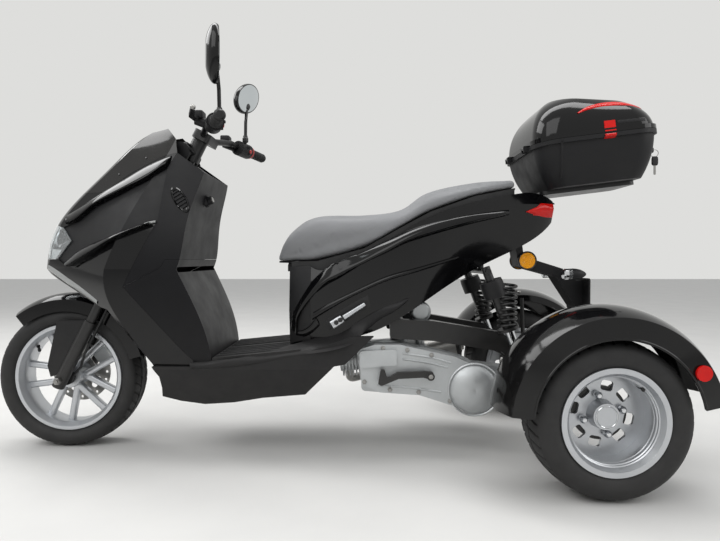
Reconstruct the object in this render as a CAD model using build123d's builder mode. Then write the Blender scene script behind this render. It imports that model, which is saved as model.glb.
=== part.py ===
from build123d import *
import os
from math import cos, radians, sin

os.makedirs("parts", exist_ok=True)

# Layout. +X is forward, +Y is the rider's left, +Z is up, the ground is Z = 0.
WHEELBASE = 1634.0
FRONT_AXLE_X = 862.0
REAR_AXLE_X = FRONT_AXLE_X - WHEELBASE
REAR_HALF_TRACK = 410.0

# Front wheel, 13 inch.
FRONT_TYRE_RADIUS = 235.0
FRONT_TYRE_WIDTH = 120.0
FRONT_BEAD_RADIUS = 165.0
FRONT_RIM_WIDTH = 88.0
FRONT_AXLE_RADIUS = 8.0
FRONT_HUB_RADIUS = 38.0
FRONT_HUB_WIDTH = 84.0
DISC_RADIUS = 100.0
DISC_THICKNESS = 4.0

# Rear wheels, 10 inch, deep dish.
REAR_TYRE_RADIUS = 212.0
REAR_TYRE_WIDTH = 176.0
REAR_BEAD_RADIUS = 127.0
REAR_RIM_WIDTH = 150.0
DISH_DEPTH = 88.0
STUB_RADIUS = 15.0
HUB_FLANGE_RADIUS = 74.0

RIM_LIP = 14.0
LIP_THICKNESS = 6.0
BARREL_WALL = 9.0
BEAD_GAP = 0.3
RUN_CLEARANCE = 0.05
PANEL_WALL = 4.0
SEAM = 0.6

# Steering head.
RAKE = 27.0
FORK_OFFSET = 24.0
FORK_HALF_SPREAD = 88.0
SLIDER_RADIUS = 20.0
STANCHION_RADIUS = 15.0
BRIDGE_REACH = 300.0
STEM_RADIUS = 16.0
HEAD_TUBE_RADIUS = 27.0
HEAD_TUBE_START = 336.0
HEAD_TUBE_LENGTH = 190.0
BAR_REACH = 905.0
BAR_RADIUS = 11.0

# Rear body and running gear.
RAIL_RADIUS = 12.7
AXLE_TUBE_RADIUS = 30.0
BEAM_HALF_SPREAD = 122.0
BEAM_WIDTH = 36.0
FENDER_RADIUS = 298.0
FENDER_WALL = 4.0
SHOCK_HALF_SPREAD = 165.0
CASE_TILT = 7.0
CASE_WALL = 4.0
CASE_SPLIT = 142.0

# Steering axis: a point on it level with the front axle and its upward direction.
AXIS_UP = (-sin(radians(RAKE)), 0.0, cos(radians(RAKE)))
AXIS_FORE = (cos(radians(RAKE)), 0.0, sin(radians(RAKE)))
AXIS_X = FRONT_AXLE_X - FORK_OFFSET * AXIS_FORE[0]
AXIS_Z = FRONT_TYRE_RADIUS - FORK_OFFSET * AXIS_FORE[2]


def on_axis(reach, fore=0.0, y=0.0):
    """Point a given reach up the steering axis, moved forward square to it."""
    x = AXIS_X + reach * AXIS_UP[0] + fore * AXIS_FORE[0]
    z = AXIS_Z + reach * AXIS_UP[2] + fore * AXIS_FORE[2]
    return (x, y, z)


def steer_plane(reach, fore=0.0, y=0.0):
    """Plane square to the steering axis, its normal pointing up the axis."""
    return Plane(origin=on_axis(reach, fore, y), x_dir=AXIS_FORE, z_dir=AXIS_UP)


def front(points):
    """Side-view points given ahead of the front axle, in vehicle coordinates."""
    return [(FRONT_AXLE_X + dx, z) for dx, z in points]


def rear(points):
    """Side-view points given ahead of the rear axle, in vehicle coordinates."""
    return [(REAR_AXLE_X + dx, z) for dx, z in points]


def side_prism(points, y_low, y_high):
    """Closed side-view outline carried straight across from y_low to y_high."""
    with BuildPart() as prism:
        with BuildSketch(Plane.XZ.offset(-y_high)):
            with BuildLine():
                Polyline(*points, close=True)
            make_face()
        extrude(amount=y_high - y_low)
    return prism.part


def rounded_prism(points, y_low, y_high, radius):
    """Side-view outline with rounded corners carried across from y_low to y_high."""
    with BuildPart() as prism:
        with BuildSketch(Plane.XZ.offset(-y_high)):
            with BuildLine():
                FilletPolyline(*points, radius=radius, close=True)
            make_face()
        extrude(amount=y_high - y_low)
    return prism.part


def tube(points, radius, bend=30.0):
    """Round tube along a line of points with equal bends."""
    with BuildPart() as pipe:
        with BuildLine() as path:
            if len(points) > 2:
                FilletPolyline(*points, radius=bend)
            else:
                Line(*points)
        with BuildSketch(Plane(origin=path.line @ 0, z_dir=path.line % 0)):
            Circle(radius)
        sweep(path=path.line)
    return pipe.part


def bar(start, end, radius):
    """Straight round bar between two points."""
    span = Vector(*end) - Vector(*start)
    with BuildPart() as rod:
        with BuildSketch(Plane(origin=start, z_dir=span)):
            Circle(radius)
        extrude(amount=span.length)
    return rod.part


def cross_bar(x, z, half, radius):
    """Round bar across the vehicle, level, as far left as right."""
    return bar((x, -half, z), (x, half, z), radius)


def tyre(axle, width_mid, radius, width, bead, rim_width):
    """Tyre ring turned about the axle: bead, bulged wall, shoulder and crown."""
    half = width / 2
    seat = rim_width / 2 - BEAD_GAP
    shoulder = (radius - 0.055 * width, 0.40 * width)
    wall = (bead + 0.5 * (radius - bead), half)
    foot = bead + BEAD_GAP
    with BuildPart() as ring:
        with BuildSketch(Plane(origin=(axle[0], width_mid, axle[1]))):
            with BuildLine():
                Line((foot, -seat), (foot, seat))
                Line((foot, seat), (foot + RIM_LIP, seat))
                ThreePointArc((foot + RIM_LIP, seat), wall, shoulder)
                ThreePointArc(shoulder, (radius, 0), (shoulder[0], -shoulder[1]))
                ThreePointArc((shoulder[0], -shoulder[1]), (wall[0], -half), (foot + RIM_LIP, -seat))
                Line((foot + RIM_LIP, -seat), (foot, -seat))
            make_face()
        revolve(axis=Axis((axle[0], 0, axle[1]), (0, 1, 0)))
    return ring.part


def rim_barrel(axle, width_mid, bead, rim_width):
    """Wheel barrel with two lips, turned about the axle."""
    half = rim_width / 2
    lip = bead + RIM_LIP
    floor = bead - BARREL_WALL
    edge = half + LIP_THICKNESS
    with BuildPart() as ring:
        with BuildSketch(Plane(origin=(axle[0], width_mid, axle[1]))):
            with BuildLine():
                Polyline((bead, -half), (bead, half), (lip, half), (lip, edge), (bead, edge),
                         (floor, half - 10), (floor, 10 - half), (bead, -edge), (lip, -edge),
                         (lip, -half), close=True)
            make_face()
        revolve(axis=Axis((axle[0], 0, axle[1]), (0, 1, 0)))
    return ring.part


FRONT_AXLE = (FRONT_AXLE_X, FRONT_TYRE_RADIUS)
REAR_AXLE = (REAR_AXLE_X, REAR_TYRE_RADIUS)
FRONT_AXIS = Axis((FRONT_AXLE_X, 0, FRONT_TYRE_RADIUS), (0, 1, 0))
REAR_AXIS = Axis((REAR_AXLE_X, 0, REAR_TYRE_RADIUS), (0, 1, 0))
FRONT_WHEEL_PLANE = Plane(origin=(FRONT_AXLE_X, 0, FRONT_TYRE_RADIUS), x_dir=(1, 0, 0), z_dir=(0, -1, 0))
SIDES = (("left", 1), ("right", -1))

# Front wheel.
with BuildPart() as front_tyre:
    add(tyre(FRONT_AXLE, 0, FRONT_TYRE_RADIUS, FRONT_TYRE_WIDTH, FRONT_BEAD_RADIUS, FRONT_RIM_WIDTH))
front_tyre.part.label = "front_tyre"
export_step(front_tyre.part, "parts/front_tyre.step")

# Twin spokes that open a little towards the rim, one pair pointing straight ahead.
SPOKE_PAIRS = 5
SPOKE_WIDTH = 14.0
SPOKE_DEPTH = 26.0
SPOKE_ROOT = 18.0
SPOKE_TIP = FRONT_BEAD_RADIUS - 3.0
SPOKE_HALF_AT_HUB = 15.0
SPOKE_HALF_AT_RIM = 31.0
with BuildPart() as front_rim:
    add(rim_barrel(FRONT_AXLE, 0, FRONT_BEAD_RADIUS, FRONT_RIM_WIDTH))
    with BuildSketch(FRONT_WHEEL_PLANE.offset(-SPOKE_DEPTH / 2)):
        with PolarLocations(0, SPOKE_PAIRS):
            for lean in (1, -1):
                with BuildLine():
                    Polyline((SPOKE_ROOT, lean * SPOKE_HALF_AT_HUB), (SPOKE_TIP, lean * SPOKE_HALF_AT_RIM),
                             (SPOKE_TIP, lean * (SPOKE_HALF_AT_RIM + SPOKE_WIDTH)),
                             (SPOKE_ROOT, lean * (SPOKE_HALF_AT_HUB + SPOKE_WIDTH)), close=True)
                make_face()
        Circle(SPOKE_TIP, mode=Mode.INTERSECT)
    extrude(amount=SPOKE_DEPTH)
    with BuildSketch(FRONT_WHEEL_PLANE.offset(-FRONT_HUB_WIDTH / 2)):
        Circle(FRONT_HUB_RADIUS)
    extrude(amount=FRONT_HUB_WIDTH)
    with BuildSketch(FRONT_WHEEL_PLANE.offset(-FRONT_HUB_WIDTH / 2 - 1)):
        Circle(FRONT_AXLE_RADIUS + RUN_CLEARANCE)
    extrude(amount=FRONT_HUB_WIDTH + 2, mode=Mode.SUBTRACT)
front_rim.part.label = "front_rim"
export_step(front_rim.part, "parts/front_rim.step")

# Brake disc on the right of the hub, drilled, with an open middle.
DISC_Y = -FRONT_HUB_WIDTH / 2 - DISC_THICKNESS
with BuildPart() as brake_disc:
    with BuildSketch(FRONT_WHEEL_PLANE.offset(-DISC_Y - DISC_THICKNESS)):
        Circle(DISC_RADIUS)
        with PolarLocations(62, 5):
            SlotOverall(44, 20, rotation=90, mode=Mode.SUBTRACT)
        with PolarLocations(88, 20):
            Circle(4.5, mode=Mode.SUBTRACT)
        Circle(FRONT_AXLE_RADIUS + 4, mode=Mode.SUBTRACT)
    extrude(amount=DISC_THICKNESS)
brake_disc.part.label = "brake_disc"
export_step(brake_disc.part, "parts/brake_disc.step")

# Rear wheels: tyre, dished rim and the hub whose stub shaft turns in the axle tube.
LUGS = 4
LUG_CIRCLE = 54.0
LUG_START = 14.0
LUG_HEIGHT = 14.0
WINDOW_CIRCLE = 77.0
WINDOW_TURN = 26.0
WINDOW_SIZE = (28.0, 33.0)
HUB_CAP_RADIUS = 40.0
HUB_CAP_HEIGHT = 36.0
disc_out = REAR_HALF_TRACK + REAR_RIM_WIDTH / 2 - DISH_DEPTH
WHEEL_DISC = 9.0
HUB_FLANGE = 12.0
STUB_LENGTH = 90.0
hub_face = disc_out - WHEEL_DISC
axle_end = hub_face - HUB_FLANGE - 6
for side, sign in SIDES:
    wheel_plane = Plane(origin=(REAR_AXLE_X, 0, REAR_TYRE_RADIUS), x_dir=(1, 0, 0), z_dir=(0, sign, 0))
    with BuildPart() as rear_tyre:
        add(tyre(REAR_AXLE, sign * REAR_HALF_TRACK, REAR_TYRE_RADIUS, REAR_TYRE_WIDTH,
                 REAR_BEAD_RADIUS, REAR_RIM_WIDTH))
    rear_tyre.part.label = "rear_tyre_" + side
    export_step(rear_tyre.part, "parts/rear_tyre_" + side + ".step")

    with BuildPart() as rear_rim:
        add(rim_barrel(REAR_AXLE, sign * REAR_HALF_TRACK, REAR_BEAD_RADIUS, REAR_RIM_WIDTH))
        with BuildSketch(wheel_plane.offset(hub_face)):
            Circle(REAR_BEAD_RADIUS - 4)
            for turn in (WINDOW_TURN, -WINDOW_TURN):
                with PolarLocations(WINDOW_CIRCLE, LUGS, start_angle=LUG_START + turn):
                    RectangleRounded(*WINDOW_SIZE, 8, mode=Mode.SUBTRACT)
        extrude(amount=WHEEL_DISC)
        with BuildSketch(wheel_plane.offset(disc_out)):
            with PolarLocations(LUG_CIRCLE, LUGS, start_angle=LUG_START):
                RegularPolygon(9, 6)
        extrude(amount=LUG_HEIGHT)
        with BuildSketch(wheel_plane.offset(disc_out)):
            Circle(HUB_CAP_RADIUS)
        extrude(amount=HUB_CAP_HEIGHT, taper=8)
    rear_rim.part.label = "rear_rim_" + side
    export_step(rear_rim.part, "parts/rear_rim_" + side + ".step")

    with BuildPart() as rear_hub:
        with BuildSketch(wheel_plane.offset(hub_face - HUB_FLANGE)):
            Circle(HUB_FLANGE_RADIUS)
        extrude(amount=HUB_FLANGE)
        with BuildSketch(wheel_plane.offset(axle_end - STUB_LENGTH)):
            Circle(STUB_RADIUS)
        extrude(amount=STUB_LENGTH + HUB_FLANGE)
    rear_hub.part.label = "rear_hub_" + side
    export_step(rear_hub.part, "parts/rear_hub_" + side + ".step")

# Fork: axle, sliders, stanchions, lower bridge, stem up to the bar clamp.
STEM_TOP = BAR_REACH - 20.0
with BuildPart() as fork:
    add(bar((FRONT_AXLE_X, -FORK_HALF_SPREAD, FRONT_TYRE_RADIUS),
            (FRONT_AXLE_X, FORK_HALF_SPREAD, FRONT_TYRE_RADIUS), FRONT_AXLE_RADIUS))
    for sign in (1, -1):
        y = sign * FORK_HALF_SPREAD
        add(bar(on_axis(-26, FORK_OFFSET, y), on_axis(215, FORK_OFFSET, y), SLIDER_RADIUS))
        add(bar(on_axis(200, FORK_OFFSET, y), on_axis(BRIDGE_REACH + 12, FORK_OFFSET, y), STANCHION_RADIUS))
    with BuildSketch(steer_plane(BRIDGE_REACH - 16)):
        with Locations((FORK_OFFSET / 2, 0)):
            RectangleRounded(70, 2 * FORK_HALF_SPREAD + 44, 20)
    extrude(amount=28)
    add(bar(on_axis(BRIDGE_REACH), on_axis(STEM_TOP), STEM_RADIUS))
fork.part.label = "fork"
export_step(fork.part, "parts/fork.step")

# Caliper hung on the right slider over the disc edge.
with BuildPart() as brake_caliper:
    caliper = Plane(origin=(FRONT_AXLE_X - 78, DISC_Y + DISC_THICKNESS / 2, FRONT_TYRE_RADIUS + 62),
                    x_dir=(0.62, 0, 0.78), z_dir=(0, -1, 0))
    with BuildSketch(caliper.offset(-20)):
        RectangleRounded(78, 46, 12)
    extrude(amount=46)
    with BuildSketch(FRONT_WHEEL_PLANE.offset(-DISC_Y - DISC_THICKNESS - 2)):
        Circle(DISC_RADIUS + 5)
    extrude(amount=DISC_THICKNESS + 4, mode=Mode.SUBTRACT)
    with BuildSketch(FRONT_WHEEL_PLANE.offset(0)):
        Circle(72)
    extrude(amount=200, mode=Mode.SUBTRACT)
    slider_low = on_axis(-40, FORK_OFFSET, -FORK_HALF_SPREAD)
    slider_top = on_axis(240, FORK_OFFSET, -FORK_HALF_SPREAD)
    add(bar(slider_low, slider_top, SLIDER_RADIUS + SEAM), mode=Mode.SUBTRACT)
brake_caliper.part.label = "brake_caliper"
export_step(brake_caliper.part, "parts/brake_caliper.step")

# Front mudguard: crown over the tyre with upright walls, carried by the sliders.
GUARD_RADIUS = 284.0
GUARD_HALF_WIDTH = 66.0
with BuildPart() as front_fender:
    with BuildSketch(Plane(origin=(FRONT_AXLE_X, 0, FRONT_TYRE_RADIUS), x_dir=(0.62, 0, 0.785),
                           z_dir=(-0.785, 0, 0.62))):
        with BuildLine():
            Polyline((GUARD_RADIUS - 62, GUARD_HALF_WIDTH), (GUARD_RADIUS - 22, GUARD_HALF_WIDTH))
            ThreePointArc((GUARD_RADIUS - 22, GUARD_HALF_WIDTH), (GUARD_RADIUS, 0),
                          (GUARD_RADIUS - 22, -GUARD_HALF_WIDTH))
            Polyline((GUARD_RADIUS - 22, -GUARD_HALF_WIDTH), (GUARD_RADIUS - 62, -GUARD_HALF_WIDTH),
                     (GUARD_RADIUS - 62, FENDER_WALL - GUARD_HALF_WIDTH),
                     (GUARD_RADIUS - 24, FENDER_WALL - GUARD_HALF_WIDTH))
            ThreePointArc((GUARD_RADIUS - 24, FENDER_WALL - GUARD_HALF_WIDTH),
                          (GUARD_RADIUS - FENDER_WALL, 0),
                          (GUARD_RADIUS - 24, GUARD_HALF_WIDTH - FENDER_WALL))
            Polyline((GUARD_RADIUS - 24, GUARD_HALF_WIDTH - FENDER_WALL),
                     (GUARD_RADIUS - 62, GUARD_HALF_WIDTH - FENDER_WALL),
                     (GUARD_RADIUS - 62, GUARD_HALF_WIDTH))
        make_face()
    revolve(axis=FRONT_AXIS, revolution_arc=-112)
front_fender.part.label = "front_fender"
export_step(front_fender.part, "parts/front_fender.step")


# Slider guards: flat plates ahead of the fork legs.
GUARD_PLATE = ((12, 195), (45, 46), (35, 10), (-5, 22), (-100, 195))
GUARD_THICKNESS = 6.0
with BuildPart() as fork_guards:
    for sign in (1, -1):
        y = sign * FORK_HALF_SPREAD
        add(side_prism([(FRONT_AXLE_X + dx, FRONT_TYRE_RADIUS + dz) for dx, dz in GUARD_PLATE],
                       y - GUARD_THICKNESS / 2, y + GUARD_THICKNESS / 2))
        add(bar(on_axis(-60, FORK_OFFSET, y), on_axis(400, FORK_OFFSET, y), SLIDER_RADIUS + BEAD_GAP),
            mode=Mode.SUBTRACT)
        add(side_prism([(FRONT_AXLE_X - 300, 0), (FRONT_AXLE_X - 300, 700), on_axis(400, FORK_OFFSET)[::2],
                        on_axis(-60, FORK_OFFSET)[::2]], y - 20, y + 20), mode=Mode.SUBTRACT)
fork_guards.part.label = "fork_guards"
export_step(fork_guards.part, "parts/fork_guards.step")

# Speedometer drive with its cable, and the brake hose, both held behind the sliders up to the bridge.
DRIVE_RADIUS = 24.0
DRIVE_FACES = (47.5, 66.0)
LINE_RADIUS = 4.0
LINE_BEND = 20.0
LINE_BEHIND = -29.0
LINE_TOP = BRIDGE_REACH - 16.0 - BEAD_GAP


def by_slider(reach, behind, y):
    """Point by a slider: a reach up from the axle, a distance ahead of the slider's middle."""
    return on_axis(reach, FORK_OFFSET + behind, y)


CABLE = [by_slider(8, -14, 57), by_slider(60, -31, 72), by_slider(112, LINE_BEHIND, FORK_HALF_SPREAD),
         by_slider(LINE_TOP, LINE_BEHIND, FORK_HALF_SPREAD)]
HOSE = [(FRONT_AXLE_X - 91.6, -63, FRONT_TYRE_RADIUS + 85.5),
        (FRONT_AXLE_X - 108, -72, FRONT_TYRE_RADIUS + 104),
        by_slider(196, LINE_BEHIND, -FORK_HALF_SPREAD), by_slider(LINE_TOP, LINE_BEHIND, -FORK_HALF_SPREAD)]
with BuildPart() as front_lines:
    add(bar((FRONT_AXLE_X, DRIVE_FACES[0], FRONT_TYRE_RADIUS),
            (FRONT_AXLE_X, DRIVE_FACES[1], FRONT_TYRE_RADIUS), DRIVE_RADIUS))
    add(tube(CABLE, LINE_RADIUS, LINE_BEND))
    add(cross_bar(FRONT_AXLE_X, FRONT_TYRE_RADIUS, FORK_HALF_SPREAD, FRONT_AXLE_RADIUS + BEAD_GAP),
        mode=Mode.SUBTRACT)
    add(tube(HOSE, LINE_RADIUS, LINE_BEND))
front_lines.part.label = "front_lines"
export_step(front_lines.part, "parts/front_lines.step")

# Handlebar with its clamp, the grips, and the levers with their housings.
BAR_HALF = (
    (60, -30, 14), (150, -70, 28), (205, -105, 14), (320, -150, 7),
)
bar_mid = on_axis(BAR_REACH)
bar_left = [(bar_mid[0] + dx, y, bar_mid[2] + dz) for y, dx, dz in BAR_HALF]
bar_line = [(x, -y, z) for x, y, z in reversed(bar_left)] + bar_left
GRIP_RADIUS = 17.0
GRIP_START = 0.22
with BuildPart() as handlebar:
    add(tube(bar_line, BAR_RADIUS, 20))
    with BuildSketch(steer_plane(BAR_REACH - 70)):
        Circle(26)
    extrude(amount=96)
    with BuildSketch(steer_plane(BAR_REACH - 71)):
        Circle(STEM_RADIUS + BEAD_GAP)
    extrude(amount=STEM_TOP - BAR_REACH + 71 + BEAD_GAP, mode=Mode.SUBTRACT)
    with BuildSketch(steer_plane(BAR_REACH + 4, -14)):
        RectangleRounded(60, 120, 14)
    extrude(amount=30)
handlebar.part.label = "handlebar"
export_step(handlebar.part, "parts/handlebar.step")


def grip_point(share, sign):
    """Point on the straight grip run, from its inner end to the bar end."""
    a = Vector(*bar_left[2])
    b = Vector(*bar_left[3])
    p = a + (b - a) * share
    return (p.X, sign * p.Y, p.Z)


with BuildPart() as grips:
    for sign in (1, -1):
        add(bar(grip_point(GRIP_START, sign), grip_point(1.08, sign), GRIP_RADIUS))
        add(bar(grip_point(-0.5, sign), grip_point(1.0, sign), BAR_RADIUS + BEAD_GAP), mode=Mode.SUBTRACT)
grips.part.label = "grips"
export_step(grips.part, "parts/grips.step")

HOUSING_RADIUS = 27.0
with BuildPart() as controls:
    for sign in (1, -1):
        a = grip_point(-0.30, sign)
        b = grip_point(GRIP_START - 0.01, sign)
        add(bar(a, b, HOUSING_RADIUS))
        add(bar((a[0] + 10, a[1], a[2]), (a[0] + 52, a[1], a[2] + 16), 15))
        with BuildSketch(Plane(origin=(a[0] + 44, a[1] - sign * 10, a[2] + 12), z_dir=(0, 0, 1))):
            with BuildLine():
                FilletPolyline((-10, 0), (14, 0), (16, sign * 60), (-18, sign * 150), (-30, sign * 150),
                               (-2, sign * 60), radius=5, close=True)
            make_face()
        extrude(amount=10)
    add(tube(bar_line, BAR_RADIUS + BEAD_GAP, 20), mode=Mode.SUBTRACT)
controls.part.label = "controls"
export_step(controls.part, "parts/controls.step")

# Mirrors: a bent stem out of each lever housing and a leaf-shaped head that faces the rider.
# Columns: side, turn of the glass towards the rider, lean of the leaf outwards.
MIRROR_TALL = 176.0
MIRROR_WIDE = 104.0
MIRROR_STEM = 6.0
MIRRORS = ((1, 20, 4), (-1, 20, 58))
# Columns: height of the bend points over the perch, and how far out of it they stand.
MIRROR_BENDS = ((22, 0), (104, 6), (164, 30))
MIRROR_FORE = -18.0
MIRROR_CENTRE = (200.0, 38.0)
# Columns: depth behind the glass, share of the leaf's size.
MIRROR_ROWS = ((-6, 0.96), (4, 1.0), (20, 0.82), (30, 0.45))
with BuildPart() as mirrors:
    for sign, turn, lean in MIRRORS:
        foot = grip_point(-0.15, sign)
        stem = [(foot[0] + MIRROR_FORE, foot[1] + sign * out, foot[2] + up) for up, out in MIRROR_BENDS]
        add(tube(stem, MIRROR_STEM, 40))
        middle = (foot[0] + MIRROR_FORE, foot[1] + sign * MIRROR_CENTRE[1], foot[2] + MIRROR_CENTRE[0])
        face = Plane(origin=middle,
                     x_dir=(sin(radians(turn)), -sign * cos(radians(turn)), 0),
                     z_dir=(-cos(radians(turn)), -sign * sin(radians(turn)), 0))
        for depth, grow in MIRROR_ROWS:
            with BuildSketch(face.offset(-depth)):
                Ellipse(MIRROR_WIDE / 2 * grow, MIRROR_TALL / 2 * grow, rotation=sign * lean)
        loft()
        add(bar(grip_point(-0.30, sign), grip_point(GRIP_START, sign), HOUSING_RADIUS + BEAD_GAP),
            mode=Mode.SUBTRACT)
mirrors.part.label = "mirrors"
export_step(mirrors.part, "parts/mirrors.step")

# Front fairing: plan sections from the seam with the belly pan up to the screen top.
# Columns: height, nose, cheek, cheek half width, side, side half width, back, back half width.
FAIRING_ROWS = (
    (300, -280, -285, 150, -340, 186, -522, 190),
    (400, -190, -200, 150, -270, 198, -505, 200),
    (490, -50, -90, 120, -215, 206, -472, 208),
    (600, 85, 50, 60, -200, 212, -420, 214),
    (690, 66, 30, 75, -235, 205, -440, 205),
    (770, 25, -15, 80, -270, 190, -452, 188),
    (860, -58, -100, 85, -315, 165, -478, 165),
    (950, -150, -190, 80, -360, 134, -495, 140),
    (1080, -340, -355, 52, -395, 80, -450, 84),
)
FAIRING_SPLIT = 3
STRETCH = 12.0


def fairing_loft(rows, inset, stretch):
    """Fairing body through its plan sections, drawn in by an inset."""
    with BuildPart() as body:
        for index, (z, nose, cheek, cheek_y, flank, flank_y, back, back_y) in enumerate(rows):
            level = z
            if index == 0:
                level = z - stretch
            if index == len(rows) - 1:
                level = z + stretch
            nose_x = FRONT_AXLE_X + nose - inset
            cheek_x = FRONT_AXLE_X + cheek - inset
            flank_x = FRONT_AXLE_X + flank
            back_x = FRONT_AXLE_X + back + inset
            c = cheek_y - 0.7 * inset
            f = flank_y - inset
            b = back_y - inset
            with BuildSketch(Plane.XY.offset(level)):
                with BuildLine():
                    ThreePointArc((cheek_x, c), (nose_x, 0), (cheek_x, -c))
                    Polyline((cheek_x, -c), (flank_x, -f), (back_x, -b), (back_x, b), (flank_x, f),
                             (cheek_x, c))
                make_face()
        loft()
    return body.part


def fairing_half(rows):
    """One fairing skin of the panel wall: a loft less the same loft drawn in."""
    with BuildPart() as half:
        add(fairing_loft(rows, 0, 0))
        add(fairing_loft(rows, PANEL_WALL, STRETCH), mode=Mode.SUBTRACT)
    return half.part


UPPER_ROWS = FAIRING_ROWS[FAIRING_SPLIT:]
LOWER_ROWS = FAIRING_ROWS[:FAIRING_SPLIT + 1]
ARCH = ((140, 606), (85, 597), (-172, 480), (-198, 475), (-260, 398), (-336, 306), (-358, 266), (140, 266))
with BuildPart() as open_skin:
    add(fairing_half(UPPER_ROWS))
    add(fairing_half(LOWER_ROWS))
    add(side_prism(front(ARCH), -300, 300), mode=Mode.SUBTRACT)

# Side-view outlines of the fairing panels, ahead of the front axle.
SCREEN = ((-20, 846), (-150, 846), (-165, 852), (-245, 906), (-341, 954), (-398, 970), (-386, 1020),
          (-336, 1076), (-250, 1076), (90, 846))
COWL = ((90, 760), (-9, 735), (-69, 752), (-133, 798), (-229, 840), (-309, 876), (-373, 920), (-398, 970),
        (-341, 954), (-245, 906), (-165, 852), (-150, 846), (90, 846))
LAMP = ((90, 760), (-9, 735), (-50, 690), (9, 631), (90, 631))
VENT = ((-9, 735), (-69, 752), (-133, 798), (-229, 840), (-309, 876), (-373, 920), (-357, 748), (-247, 713),
        (-168, 691), (-90, 660), (-26, 612), (9, 631), (-50, 690))
BLADE = ((-26, 612), (-90, 660), (-168, 691), (-247, 713), (-357, 748), (-293, 719), (-200, 672), (-75, 604))
FLANK = ((100, 631), (9, 631), (-26, 612), (-75, 604), (-200, 672), (-293, 719), (-357, 748), (-256, 546),
         (-428, 352), (-463, 318), (-463, 280), (-100, 280), (100, 500))
KNEE = ((-357, 748), (-256, 546), (-372, 605), (-386, 630), (-600, 630), (-600, 860), (-534, 872),
        (-398, 970), (-373, 920))
SHIELD = ((-256, 546), (-372, 605), (-386, 630), (-600, 630), (-600, 280), (-463, 280), (-463, 318),
          (-428, 352))


def keep(outline, y_low, y_high, grow=-SEAM / 2):
    """Side-view cutter, drawn in by half a panel seam unless it runs under its neighbours."""
    with BuildPart() as cutter:
        with BuildSketch(Plane.XZ.offset(-y_high)):
            with BuildLine():
                Polyline(*front(outline), close=True)
            make_face()
            offset(amount=grow, kind=Kind.INTERSECTION, mode=Mode.REPLACE)
        extrude(amount=y_high - y_low)
    return cutter.part


for name, outline in (("screen", SCREEN), ("nose_cowl", COWL), ("headlamp", LAMP), ("knee_panel", KNEE),
                      ("leg_shield", SHIELD)):
    with BuildPart() as panel:
        add(open_skin.part)
        add(keep(outline, -300, 300), mode=Mode.INTERSECT)
    panel.part.label = name
    export_step(panel.part, "parts/" + name + ".step")

for side, low, high in (("left", SEAM / 2, 300), ("right", -300, -SEAM / 2)):
    with BuildPart() as side_fairing:
        add(open_skin.part)
        add(keep(FLANK, low, high), mode=Mode.INTERSECT)
    side_fairing.part.label = "side_fairing_" + side
    export_step(side_fairing.part, "parts/side_fairing_" + side + ".step")

VENT_DEPTH = PANEL_WALL + BEAD_GAP
VENT_LAP = 8.0
with BuildPart() as side_vents:
    add(fairing_loft(UPPER_ROWS, VENT_DEPTH, 0))
    add(fairing_loft(UPPER_ROWS, VENT_DEPTH + PANEL_WALL, STRETCH), mode=Mode.SUBTRACT)
    add(keep(VENT, -300, 300, VENT_LAP), mode=Mode.INTERSECT)
side_vents.part.label = "side_vents"
export_step(side_vents.part, "parts/side_vents.step")

BLADE_PROUD = 5.0
with BuildPart() as blades:
    add(fairing_loft(UPPER_ROWS, -BLADE_PROUD, 0))
    add(fairing_loft(UPPER_ROWS, PANEL_WALL, STRETCH), mode=Mode.SUBTRACT)
    add(keep(BLADE, -300, 300), mode=Mode.INTERSECT)
blades.part.label = "blades"
export_step(blades.part, "parts/blades.step")


# Dash: top plate behind the screen with the round-ended instrument pod.
DASH = ((-150, 838), (-392, 962), (-398, 962), (-526, 868), (-526, 858), (-396, 948), (-150, 826))
POD = ((-300, 920), (-330, 1010), (-395, 1020), (-420, 985), (-402, 955))
with BuildPart() as dash:
    add(fairing_loft(UPPER_ROWS, PANEL_WALL + SEAM, STRETCH))
    add(side_prism(front(DASH), -300, 300), mode=Mode.INTERSECT)
    add(rounded_prism(front(POD), -66, 66, 14))
    add(bar(on_axis(500), on_axis(900), STEM_RADIUS + 12), mode=Mode.SUBTRACT)
    add(bar(on_axis(BAR_REACH - 100), on_axis(BAR_REACH + 80), 52), mode=Mode.SUBTRACT)
dash.part.label = "dash"
export_step(dash.part, "parts/dash.step")

# Wheel-arch liner closing the fairing behind the front wheel.
LINER = ((-236, 500), (-292, 400), (-352, 310), (-352, 302), (-366, 302), (-366, 314), (-306, 404),
         (-250, 508))
with BuildPart() as arch_liner:
    add(fairing_loft(LOWER_ROWS, PANEL_WALL + SEAM, STRETCH))
    add(side_prism(front(LINER), -300, 300), mode=Mode.INTERSECT)
    add(bar(on_axis(200), on_axis(500), HEAD_TUBE_RADIUS + 6), mode=Mode.SUBTRACT)
arch_liner.part.label = "arch_liner"
export_step(arch_liner.part, "parts/arch_liner.step")

# Belly pan: an open tray under the floor, side-view outline with sides leaning in.
FLOOR_THICKNESS = 14.0
FLOOR_HALF = 196.0
BELLY_HALF = 200.0
BELLY_LOW_HALF = 150.0
PAN = (front([(-338, 300 - SEAM), (-358, 266), (-361, 229), (-358, 199), (-413, 183), (-489, 171),
              (-581, 177)])
       + rear([(961, 193), (826, 205), (734, 300), (700, 306), (612, 392), (676, 392),
               (838, 352 - FLOOR_THICKNESS)])
       + front([(-524, 300 - SEAM)]))
PAN_SIDE = ((-BELLY_HALF, 400), (-BELLY_HALF, 290), (-BELLY_LOW_HALF, 170), (BELLY_LOW_HALF, 170),
            (BELLY_HALF, 290), (BELLY_HALF, 400))


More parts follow.
